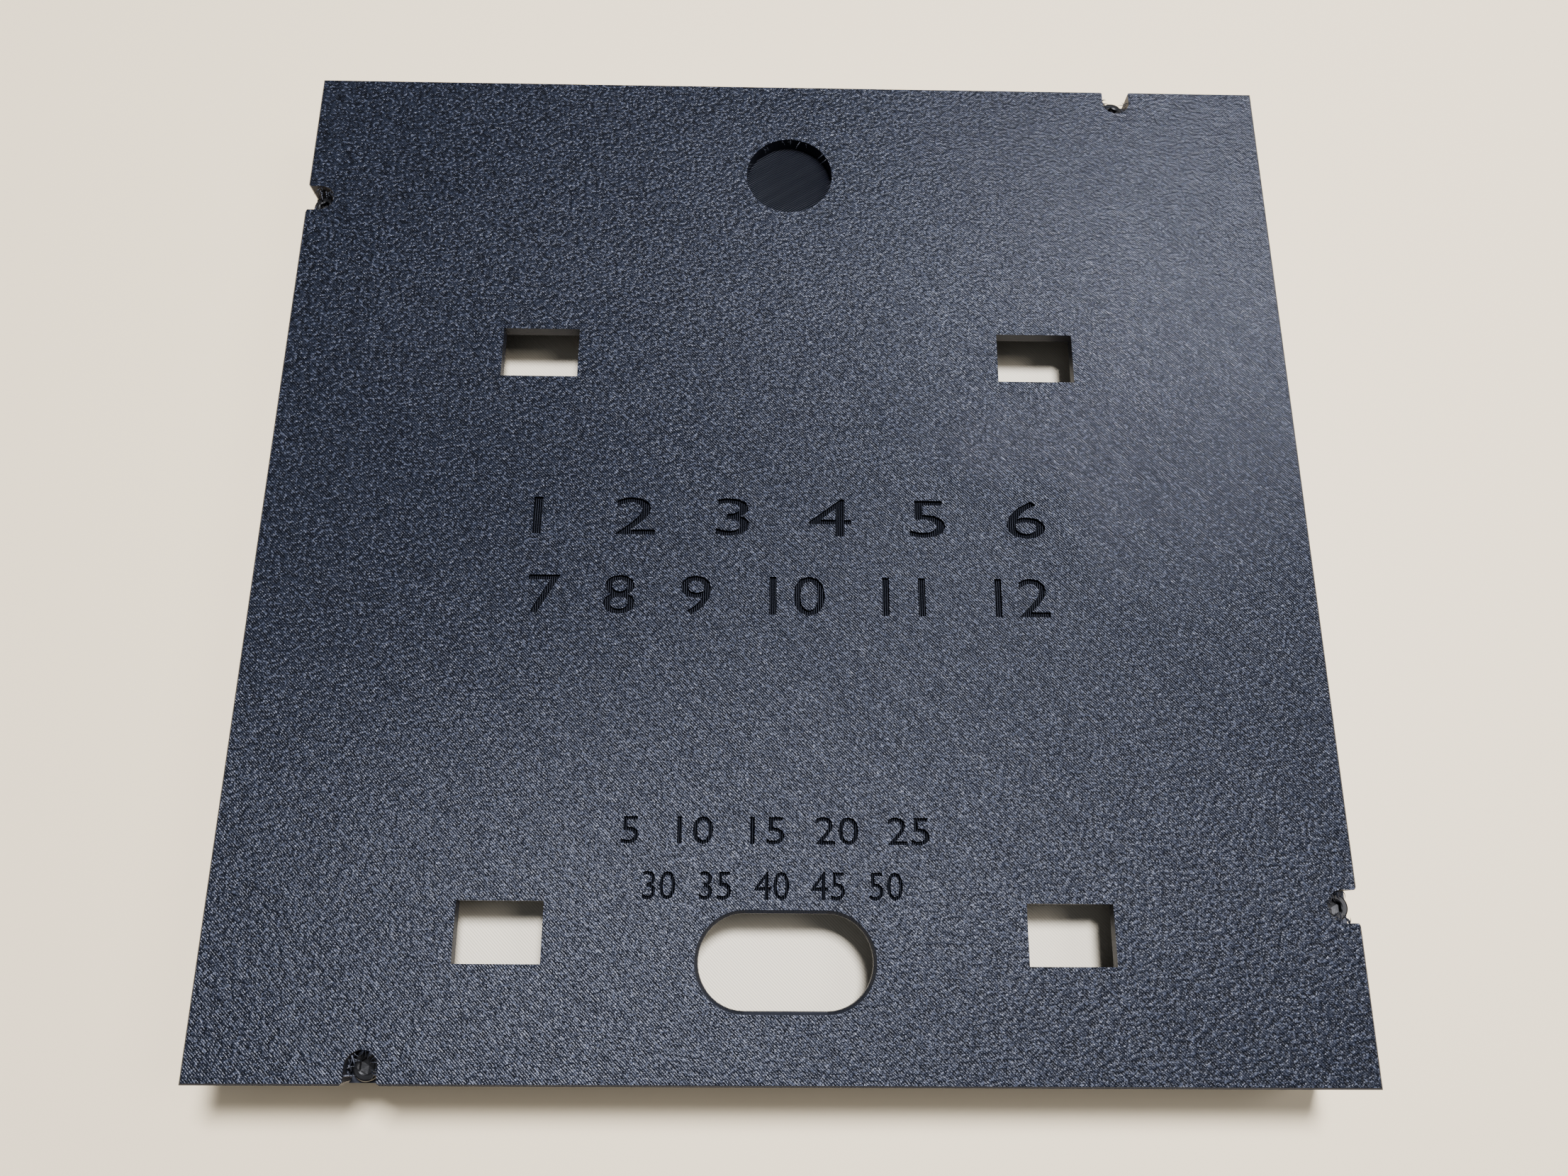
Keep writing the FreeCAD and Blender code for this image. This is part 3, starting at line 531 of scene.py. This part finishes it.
# %% Grid helper
def ring_mesh(name, points):
    """A mesh from an array of shape (pieces, rings, sides, 3). The sides wrap round."""
    pieces, rings, sides, _ = points.shape
    steps = (np.arange(pieces), np.arange(rings - 1), np.arange(sides))
    piece, ring, side = np.meshgrid(*steps, indexing="ij")
    first = (piece * rings + ring) * sides
    after = (side + 1) % sides
    quads = np.stack([first + side, first + after, first + sides + after, first + sides + side], -1)
    grid = bpy.data.meshes.new("grid")
    grid.from_pydata(points.reshape(-1, 3).tolist(), [], quads.reshape(-1, 4).tolist())
    bm = bmesh.new()
    bm.from_mesh(grid)
    bpy.data.meshes.remove(grid)
    return finished_mesh(bm, name, 1e-7)


# %% Boxes of the separate solids of a node
def solids_of(node):
    """The lowest and highest corner of each separate solid, found by walking along its edges.

    A set has no fixed order, so the boxes are sorted by X and Y: each run gives the same row.
    """
    bm = bmesh.new()
    bm.from_mesh(nodes[node].data)
    bmesh.ops.remove_doubles(bm, verts=bm.verts, dist=1e-6)
    left = set(bm.verts)
    boxes = []
    while left:
        open_ends = [left.pop()]
        found = list(open_ends)
        while open_ends:
            for edge in open_ends.pop().link_edges:
                for vert in edge.verts:
                    if vert in left:
                        left.remove(vert)
                        open_ends.append(vert)
                        found.append(vert)
        places = np.array([vert.co for vert in found])
        boxes.append((places.min(0), places.max(0)))
    bm.free()
    return sorted(boxes, key=lambda box: (round(box[0][0], 5), round(box[0][1], 5)))


# %% [markdown]
# ## Torn plastic in the screw pockets
#
# A printed pocket is held up by a thin support that is torn out afterwards. What stays behind is
# a fringe of short torn strings and a few thicker shreds. Hair would need particles, which are
# heavy and don't export. Here each is a tube that starts in the wall, bends sideways and sinks a
# little, and gets thinner to a point.

# %% Tapering strings
SPARE_WAY = (0.31, 0.17, 0.93)  # no string runs this way, so a cross product with it is never 0


def strings(roots, ways, lengths, thickness, sag, rng, rings=9, sides=6):
    """Points of tapering tubes, shape (strings, rings, sides, 3).

    At share t of its length L a string's centre is root + way t L + aside sin(3 t + phase) L / 5
    - z sag t^2 L. Its radius is thickness sin(pi t)^(1/4) (1 - 0.8 t), so it is 0 at both ends.
    """
    t = np.linspace(0.0, 1.0, rings)
    count = len(roots)
    phase = rng.uniform(0.0, 6.28, (count, 1))
    aside = np.cross(ways, (0.0, 0.0, 1.0))
    swing = (np.sin(3.0 * t + phase) - np.sin(phase)) * lengths[:, None] / 5.0
    run = t * lengths[:, None]
    centre = roots[:, None] + ways[:, None] * run[..., None] + aside[:, None] * swing[..., None]
    centre[..., 2] -= sag * t * run
    along = np.gradient(centre, axis=1)
    along /= np.linalg.norm(along, axis=-1, keepdims=True)
    across = np.cross(along, SPARE_WAY)
    across /= np.linalg.norm(across, axis=-1, keepdims=True)
    third = np.cross(along, across)
    angle = np.linspace(0.0, 2 * np.pi, sides, endpoint=False)[:, None]
    radius = np.sin(np.pi * t) ** 0.25 * (1.0 - 0.8 * t) * thickness[:, None]
    radius[:, 0] = radius[:, -1] = 0.0
    ring = across[:, :, None] * np.cos(angle) + third[:, :, None] * np.sin(angle)
    return centre[:, :, None] + ring * radius[..., None, None]


# %% Torn strings in the pockets
POCKET_HALF_WIDTH = 2.8 * MM
STRINGS_A_POCKET = 46
SHRED_SHARE = 0.25
SHRED_RADIUS = 0.30 * MM
STRING_RADIUS = 0.11 * MM
STRING_SAG = 0.35


def pocket_strings():
    """Strings from the curved wall of each screw pocket, reaching into it."""
    rng = np.random.default_rng(12)
    made = []
    for low, high in solids_of("cover_screws"):
        axis = (low + high) / 2
        outward = np.zeros(3)
        widest = np.argmax(np.abs(axis[:2]))
        outward[widest] = np.sign(axis[widest])
        sideways = np.cross((0.0, 0.0, 1.0), outward)
        count = STRINGS_A_POCKET
        angle = rng.uniform(0.0, np.pi, count)[:, None]
        wall = np.cos(angle) * sideways - np.sin(angle) * outward
        roots = np.array([axis[0], axis[1], 0.0]) + wall * POCKET_HALF_WIDTH * 1.02
        straight_part = np.abs(np.cos(angle)) > 0.8
        roots += outward * rng.uniform(0.0, 1.6 * MM, count)[:, None] * straight_part
        roots[:, 2] = rng.uniform(BACK - 2.4 * MM, BACK - 0.25 * MM, count)
        ways = -wall + rng.normal(0.0, 0.45, (count, 3)) * (1, 1, 0.3)
        ways /= np.linalg.norm(ways, axis=1, keepdims=True)
        lengths = rng.uniform(0.5, 2.1, count) * MM
        thickness = np.where(rng.uniform(0, 1, count) < SHRED_SHARE, SHRED_RADIUS, STRING_RADIUS)
        made.append(strings(roots, ways, lengths, thickness, STRING_SAG, rng))
    points = np.concatenate(made)
    points[..., 0] = np.clip(points[..., 0], cover_low.x, cover_high.x)
    points[..., 1] = np.clip(points[..., 1], cover_low.y, cover_high.y)
    points[..., 2] = np.minimum(points[..., 2], BACK - 0.02 * MM)
    return points


add_piece("torn_strings", ring_mesh("torn_strings", pocket_strings()), "cover",
          [cover_wall])

# %% [markdown]
# ## Whiskers round the hanging pocket
#
# Where the nozzle lifts off at the rim of the round pocket it pulls out a few fine whiskers. The
# formula of the torn strings serves again, with thinner ones, and the pocket's place and radius
# come from the record of the solids.

# %% Whiskers
WHISKERS = 26
WHISKER_RADIUS = 0.07 * MM
WHISKER_SAG = 0.3


def pocket_whiskers(centre, radius):
    """Whiskers from the upper half of the rim. Each points inwards and to one side."""
    rng = np.random.default_rng(5)
    count = WHISKERS
    angle = rng.uniform(-0.4, np.pi + 0.4, count)
    wall = np.stack([np.cos(angle), np.sin(angle), np.zeros(count)], 1)
    roots = np.array(centre) + wall * radius * 1.01
    roots[:, 2] = BACK - rng.uniform(0.1, 0.7, count) * MM
    inwards = -wall * rng.uniform(0.2, 1.0, (count, 1))
    ways = inwards + np.cross((0, 0, 1), wall) * rng.normal(0, 0.8, (count, 1))
    ways /= np.linalg.norm(ways, axis=1, keepdims=True)
    lengths = rng.uniform(0.5, 1.9, count) * MM
    points = strings(roots, ways, lengths, np.full(count, WHISKER_RADIUS), WHISKER_SAG, rng)
    points[..., 2] = np.minimum(points[..., 2], BACK - 0.01 * MM)
    return points


hanging = next(m for m in frame["record"]["mounts"] if m["name"] == "hanging_pocket")
whisker_points = pocket_whiskers(hanging["pos_m"], hanging["dims"]["r_mm"] * MM)
add_piece("pocket_whiskers", ring_mesh("pocket_whiskers", whisker_points), "cover",
          [cover_wall])

# %% [markdown]
# ## Plain finishes for the other solids
#
# The pieces behind the cover show when it is lifted. Each could get a graph of its own, but they
# are made of a few kinds of stuff: printed plastic, moulded or metal parts, and circuit board. So
# three functions make the graphs, and a table gives each finish its colour and roughness.

# %% Materials: printed, moulded and board
def printed(name, color, roughness, turn):
    """Lines on faces that look up or down, where the normal's |z| is over 0.7, layers elsewhere."""
    material, g, bsdf = new_material(name, color, roughness)
    place = object_place(g)
    lines = use_group(g, PRINT_LINES, Place=place, Turn=turn, Pitch=0.42 * MM)
    layers = use_group(g, WALL_LAYERS, Place=place)
    _, _, upright = g.parts(g.node("ShaderNodeTexCoord").outputs["Normal"])
    flat = g.math("GREATER_THAN", g.math("ABSOLUTE", upright), 0.7)
    height = g.mix(flat, layers["Height"], lines["Height"])
    # Painted shade: the valleys between lines and layers get a darker colour.
    shade = g.blend(g.between(height, 0.2, 0.9), (*[c * 0.86 for c in color], 1), (*color, 1))
    join(g, shade, bsdf.inputs["Base Color"])
    bump(g, bsdf, height, 0.04 * MM)
    return material


def speckled(name, color, roughness, metallic=0.0, depth=0.01 * MM, size=0.3 * MM, **shader):
    """A moulded or metal surface: faint grain in height, roughness and tone."""
    material, g, bsdf = new_material(name, color, roughness, metallic, **shader)
    grain = g.noise(object_place(g), 1.0 / size, 3.0)
    rough = g.between(grain, 0.3, 0.7, roughness * 0.85, min(1.0, roughness * 1.15))
    join(g, rough, bsdf.inputs["Roughness"])
    shade = g.blend(grain, (*[c * 0.9 for c in color], 1), (*[min(1, c * 1.08) for c in color], 1))
    join(g, shade, bsdf.inputs["Base Color"])
    bump(g, bsdf, grain, depth)
    return material


TRACK_CELLS_A_METRE = 260.0
TRACK_WIDTH = 0.06


def board_mask(name, color):
    """Solder mask: copper tracks, the borders between cells, stand out a little and lighter."""
    material, g, bsdf = new_material(name, color, 0.3, Coat_Weight=0.3)
    place = object_place(g)
    cells = g.node("ShaderNodeTexVoronoi", {"Vector": place, "Scale": TRACK_CELLS_A_METRE},
                   distance="CHEBYCHEV", feature="DISTANCE_TO_EDGE").outputs["Distance"]
    track = g.math("LESS_THAN", cells, TRACK_WIDTH)
    shade = g.blend(track, (*color, 1), (*[c * 1.9 + 0.01 for c in color], 1))
    join(g, shade, bsdf.inputs["Base Color"])
    bump(g, bsdf, track, 0.02 * MM)
    return material


# %% Table of finishes, and a finish for every solid
FINISHES = {
    "housing_plastic": printed("housing_print", SLATE, 0.45, math.radians(45)),
    "letter_sheet": speckled("letter_sheet", (0.012, 0.012, 0.013), 0.5),
    "diffuser_white": speckled("diffuser_white", (0.86, 0.85, 0.82), 0.6),
    "printed_white": printed("carrier_print", (0.74, 0.66, 0.53), 0.5, math.radians(45)),
    "strip_white": speckled("strip_white", (0.82, 0.82, 0.80), 0.4),
    "lamp_yellow": speckled("lamp_yellow", (0.85, 0.80, 0.45), 0.25),
    "copper_link": speckled("copper_link", (0.72, 0.42, 0.22), 0.35, 0.8),
    "screw_black": speckled("screw_black", (0.015, 0.015, 0.017), 0.35, 0.7),
    "screw_steel": speckled("screw_steel", (0.55, 0.55, 0.54), 0.3, 1.0),
    "board_green": board_mask("board_green", (0.012, 0.07, 0.035)),
    "board_black": board_mask("board_black", (0.012, 0.013, 0.016)),
    "metal_can": speckled("metal_can", (0.68, 0.68, 0.67), 0.28, 1.0),
    "black_plastic": speckled("black_plastic", (0.02, 0.02, 0.02), 0.45),
    "button_plastic": speckled("button_plastic", (0.62, 0.58, 0.48), 0.4),
    "lead_red": speckled("lead_red", (0.45, 0.02, 0.015), 0.35),
    "lead_black": speckled("lead_black", (0.015, 0.015, 0.015), 0.35),
    "lead_green": speckled("lead_green", (0.02, 0.25, 0.06), 0.35),
}
slot_of = {row["node"]: row["material_slot"] for row in frame["record"]["subparts"]}
for name, node in nodes.items():
    if name == "back_cover":
        continue
    node.data.materials.clear()
    node.data.materials.append(FINISHES[slot_of[name]])
print("finishes:", len(FINISHES))

# %% [markdown]
# ## Screws
#
# The solids give each screw a plain head and shank. A real one has a rounded head, a hexagon
# socket and a thread. A socket could be cut with a Boolean and a thread wound with a Screw
# modifier, but one grid makes it all: going up the screw, each ring has a radius and a height, the
# thread's rings swell and shrink as they turn, and the socket's are pulled to a hexagon.

# %% Screws with sockets and threads
THREAD_PITCH = 0.5 * MM
THREAD_DEPTH = 0.2 * MM
SOCKET_SHARE = 0.52
SCREW_SIDES = 36


def screw_points(low, high, head_height, shank_radius):
    """Points of one screw, shape (rings, sides, 3).

    Thread: radius = shank - depth (1 - |2 frac(z / pitch - angle / 2 pi) - 1|). Head: a profile
    of radius and height. Socket: radius times cos(30) / cos(angle in its sixth), a hexagon.
    """
    angle = np.linspace(0.0, 2 * np.pi, SCREW_SIDES, endpoint=False)
    centre = (low + high) / 2
    head_radius = (high[0] - low[0]) / 2 * 0.99
    seat = high[2] - head_height
    thread_z = np.arange(low[2] + 0.4 * MM, seat - 0.3 * MM, THREAD_PITCH / 4)
    wave = np.abs(2 * ((thread_z[:, None] / THREAD_PITCH - angle / (2 * np.pi)) % 1.0) - 1)
    thread = shank_radius - THREAD_DEPTH * (1 - wave)
    socket = head_radius * SOCKET_SHARE
    sixth = (angle + np.pi / 6) % (np.pi / 3) - np.pi / 6
    hexagon = np.cos(np.pi / 6) / np.cos(sixth)
    top = high[2]
    head = [(shank_radius * 0.85, seat - 0.05 * MM, 0), (head_radius, seat, 0),
            (head_radius, top - 0.35 * MM, 0), (head_radius - 0.1 * MM, top - 0.1 * MM, 0),
            (head_radius - 0.35 * MM, top, 0), (socket * 1.18, top, 0),
            (socket * 1.1, top - 0.12 * MM, 1), (socket * 1.1, top - head_height * 0.6, 1),
            (0.0, top - head_height * 0.68, 1)]
    radii = [np.zeros(SCREW_SIDES), np.full(SCREW_SIDES, shank_radius * 0.6)]
    heights = [low[2], low[2]]
    radii += list(thread)
    heights += list(thread_z)
    for radius, z, six in head:
        radii.append(radius * (hexagon if six else np.ones(SCREW_SIDES)))
        heights.append(z)
    radii = np.array(radii)
    x = centre[0] + radii * np.cos(angle)
    y = centre[1] + radii * np.sin(angle)
    z = np.broadcast_to(np.array(heights)[:, None], radii.shape)
    return np.stack([x, y, z], -1)


# %% Replace the plain screws
def dress_screws(node, body, head_height, shank_radius):
    """One piece with a turned screw in place of each of the node's solids."""
    points = np.array([screw_points(low, high, head_height, shank_radius)
                       for low, high in solids_of(node)])
    name, slot = node + "_turned", slot_of[node]
    add_piece(name, ring_mesh(name, points), body, [FINISHES[slot]], [node])


dress_screws("cover_screws", "cover", 1.9 * MM, 1.42 * MM)
dress_screws("carrier_screws", "clock", 1.3 * MM, 0.93 * MM)
dress_screws("controller_screws", "clock", 1.5 * MM, 1.17 * MM)
dress_screws("junction_screws", "clock", 1.5 * MM, 1.17 * MM)

# %% [markdown]
# ## Small parts on the controller board
#
# The solids of the board are a plate and a few blocks. A real board has rows of plated holes along
# both edges, bent legs that carry the chips, and tiny two-ended parts round them. They could be
# modelled one by one and copied. Legs and tiny parts are one shape, though, a flat bar along a
# short path, so one formula makes them all, and the chips' own boxes say where they go.

# %% Flat bars and plated rings
def bars(path, width, thickness, places, turns):
    """Points of closed flat bars, shape (bars, rings, 4, 3).

    The path is a row of (reach, height). A rectangle stands at each of its points, and the first
    and last ring shrink to the path's ends. Each bar is turned about Z and moved to its place.
    """
    steps = np.array([path[0], *path, path[-1]])
    size = np.ones(len(steps))
    size[[0, -1]] = 0.0
    corner = np.array([(-1, -1), (1, -1), (1, 1), (-1, 1)]) / 2.0
    y = corner[:, 0] * width * size[:, None]
    z = corner[:, 1] * thickness * size[:, None] + steps[:, 1:]
    x = np.broadcast_to(steps[:, :1], y.shape)
    cos, sin = np.cos(turns)[:, None, None], np.sin(turns)[:, None, None]
    place = np.array(places)[:, None, None]
    turned = (x * cos - y * sin, x * sin + y * cos, z)
    return np.stack([turned[axis] + place[..., axis] for axis in range(3)], -1)


def plated_rings(places, inner, outer, height, sides=16):
    """Points of flat rings round holes: a small rectangle carried round a circle."""
    angle = np.linspace(0.0, 2 * np.pi, sides, endpoint=False)
    radius = np.array([inner, outer, outer, inner, inner])[:, None]
    lift = np.array([0.0, 0.0, height, height, 0.0])[:, None] + 0 * angle
    ring = np.stack([radius * np.cos(angle), radius * np.sin(angle), lift], -1)
    return np.array(places)[:, None, None] + ring


# %% Legs of the chips
BOARD_EDGE, _, BOARD_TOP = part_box("controller_board")[1]
LEG = np.array([(-0.3, 0.45), (0.15, 0.45), (0.35, 0.07), (0.85, 0.06)]) * MM


def leg_rows(node, count, side_axis):
    """Places and turns of legs on both sides of a chip. Side axis 0 puts them on its X sides."""
    low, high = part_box(node)
    along = 1 - side_axis
    steps = (np.arange(count) + 0.5) / count * (high[along] - low[along]) + low[along]
    places = np.zeros((2 * count, 3))
    places[:, along] = np.tile(steps, 2)
    places[:count, side_axis] = high[side_axis]
    places[count:, side_axis] = low[side_axis]
    places[:, 2] = BOARD_TOP
    first = 0.0 if side_axis == 0 else np.pi / 2
    return places, np.repeat([first, first + np.pi], count)


def add_board_piece(name, points, slot):
    add_piece(name, ring_mesh(name, points), "clock", [FINISHES[slot]])


chip_legs = bars(LEG, 0.28 * MM, 0.12 * MM, *leg_rows("interface_chip", 8, 0))
power_legs = bars(LEG, 0.8 * MM, 0.14 * MM, *leg_rows("voltage_regulator", 3, 1))
add_board_piece("chip_legs", np.concatenate([chip_legs, power_legs]), "metal_can")

# %% Plated holes
HOLE_PITCH = 2.54 * MM
HOLES_A_ROW = 9
HOLE_TO_EDGE = 1.5 * MM


def hole_places():
    """Two rows along the board's long edges, centred beside the radio's shield."""
    steps = (np.arange(HOLES_A_ROW) - (HOLES_A_ROW - 1) / 2) * HOLE_PITCH
    low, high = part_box("radio_shield")
    middle = (low.y + high.y) / 2
    row_x = BOARD_EDGE - HOLE_TO_EDGE
    return [(side * row_x, middle + step, BOARD_TOP) for side in (-1, 1) for step in steps]


add_board_piece("plated_holes", plated_rings(hole_places(), 0.42 * MM, 0.8 * MM, 0.05 * MM),
                "copper_link")

# %% Tiny two-ended parts
TINY_LENGTH, TINY_WIDTH, TINY_HEIGHT = 1.0 * MM, 0.8 * MM, 0.45 * MM
TINY_END = 0.3 * MM
TINY_SINK = 0.94
chip_low, chip_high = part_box("interface_chip")
TINY_ROWS = [(chip_high.y + 3.2 * MM, (-6.0, -3.0, 0.0, 3.0, 6.0)),
             (chip_low.y - 2.2 * MM, (-4.0, -1.4, 1.4, 4.0)),
             (chip_low.y - 5.2 * MM, (-3.4, 0.0, 3.4))]
tiny_z = BOARD_TOP + TINY_HEIGHT / 2
spots = np.array([(x * MM, y, tiny_z) for y, row in TINY_ROWS for x in row])


def tiny_bars(start, stop, share=1.0):
    """One bar along X at each spot, from start to stop, its section scaled by a share."""
    path = [(start, 0.0), (stop, 0.0)]
    return bars(path, TINY_WIDTH * share, TINY_HEIGHT * share, spots, np.zeros(len(spots)))


half_length = TINY_LENGTH / 2
ends = [tiny_bars(side * half_length, side * (half_length + TINY_END)) for side in (-1, 1)]
add_board_piece("tiny_bodies", tiny_bars(-half_length, half_length, TINY_SINK), "black_plastic")
add_board_piece("tiny_ends", np.concatenate(ends), "metal_can")

# %% [markdown]
# ## Letter plate
#
# The front of a word clock is its dial: a square of letters, of which the right ones light up. Ten
# rows hold plain words for the time, and the eleventh has four round dots for the single minutes.
# Painted letters would be flat. Here the same kind of cutter as for the engraving goes right
# through the sheet, so the white diffuser shows behind it. Seen from the front the X axis runs
# the other way, so each letter is mirrored.

# %% Letters of the dial
DIAL_ROWS = ["ITKISGHALFE", "TENYQUARTER", "TWENTYFIVEU", "MINUTESHTOB", "PASTVSEVENL",
             "ONETWOTHREE", "FOURFIVESIX", "NINEKELEVEN", "EIGHTTWELVE", "TENPOCLOCKS"]
LETTER_PITCH = 1.0 / 60.0
LETTER_HEIGHT = 9.0 * MM
USUAL_WIDTH = 0.72
ODD_WIDTHS = {"I": 0.22, "M": 0.95, "W": 1.1}
DOT_COLUMNS = (2, 4, 6, 8)
DOT_RADIUS = 1.6 * MM
DOT_CUT = 4 * MM
letters_low, letters_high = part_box("letter_plate")


def dial_place(column, row):
    """The middle of a field. Columns run towards negative X, as seen from behind."""
    half = (len(DIAL_ROWS[0]) - 1) / 2
    return (half - column) * LETTER_PITCH, (half - row) * LETTER_PITCH


def dial_cutter():
    """All letters and dots as one closed mesh through the letter plate."""
    bm = bmesh.new()
    for row, words in enumerate(DIAL_ROWS):
        for column, letter in enumerate(words):
            wide = ODD_WIDTHS.get(letter, USUAL_WIDTH) * LETTER_HEIGHT
            add_text(bm, letter, LETTER_HEIGHT, 1.0, dial_place(column, row),
                     letters_low.z - MM, letters_high.z + MM, x_scale=-wide)
    for column in DOT_COLUMNS:
        dot = bmesh.ops.create_cone(bm, cap_ends=True, segments=24, radius1=DOT_RADIUS,
                                    radius2=DOT_RADIUS, depth=DOT_CUT)["verts"]
        middle = (letters_low.z + letters_high.z) / 2
        shift = Vector((*dial_place(column, len(DIAL_ROWS)), middle))
        bmesh.ops.translate(bm, verts=dot, vec=shift)
    return finished_mesh(bm, "dial", 1e-6)


# %% Cut the dial
dial_mesh = carve(merged_copy("letter_plate", "letter_plate_cut"), dial_cutter())
add_piece("letter_plate_cut", dial_mesh, "clock", [FINISHES["letter_sheet"]],
          ["letter_plate"])

# %% [markdown]
# ## Floor and light
#
# The clock lies on a plain pale table. In the photograph soft light falls from the far side, from
# high up, and the room fills in the shadows. A picture of a room could light the scene, but three
# square lights and a faint even sky are plainer, and each can be set by itself. The strongest is
# placed where a mirror on the cover would show it near the middle, which gives the broad sheen.

# %% Floor
FLOOR_SIDE = 3.0
FLOOR_TONE = (0.88, 0.73, 0.52)


def build_floor():
    """One square face at height 0."""
    half = FLOOR_SIDE / 2
    mesh = bpy.data.meshes.new("floor")
    corners = [(-half, -half, 0), (half, -half, 0), (half, half, 0), (-half, half, 0)]
    mesh.from_pydata(corners, [], [(0, 1, 2, 3)])
    made = bpy.data.objects.new("floor", mesh)
    bpy.context.scene.collection.objects.link(made)
    mesh.materials.append(new_material("floor", FLOOR_TONE, 0.5)[0])
    print("floor %.1f m wide" % FLOOR_SIDE)


build_floor()


# %% Lights
def area_light(name, place, size, watts, color):
    """A square soft light at a place, turned to the middle of the clock's foot."""
    data = bpy.data.lights.new(name, "AREA")
    data.shape = "SQUARE"
    data.size = size
    data.energy = watts
    data.color = color
    made = bpy.data.objects.new(name, data)
    bpy.context.scene.collection.objects.link(made)
    made.location = place
    made.rotation_mode = "QUATERNION"
    made.rotation_quaternion = (-Vector(place)).to_track_quat("-Z", "Y")
    print(name, watts, "W")


area_light("ceiling_light", (0.13, 0.21, 0.96), 0.17, 26.0, (0.97, 0.98, 1.0))
area_light("side_light", (0.60, 0.02, 0.90), 0.30, 3.0, (1.0, 0.97, 0.93))
area_light("fill_light", (-0.25, -0.45, 1.10), 0.80, 0.4, (0.95, 0.97, 1.0))

# %% Faint even light from all round
SKY_TONE = (0.9, 0.95, 1.0, 1.0)
SKY_STRENGTH = 0.16
world = bpy.data.worlds.new("studio")
world.use_nodes = True
sky = world.node_tree.nodes["Background"].inputs
sky["Color"].default_value = SKY_TONE
sky["Strength"].default_value = SKY_STRENGTH
bpy.context.scene.world = world
print("sky strength", SKY_STRENGTH)
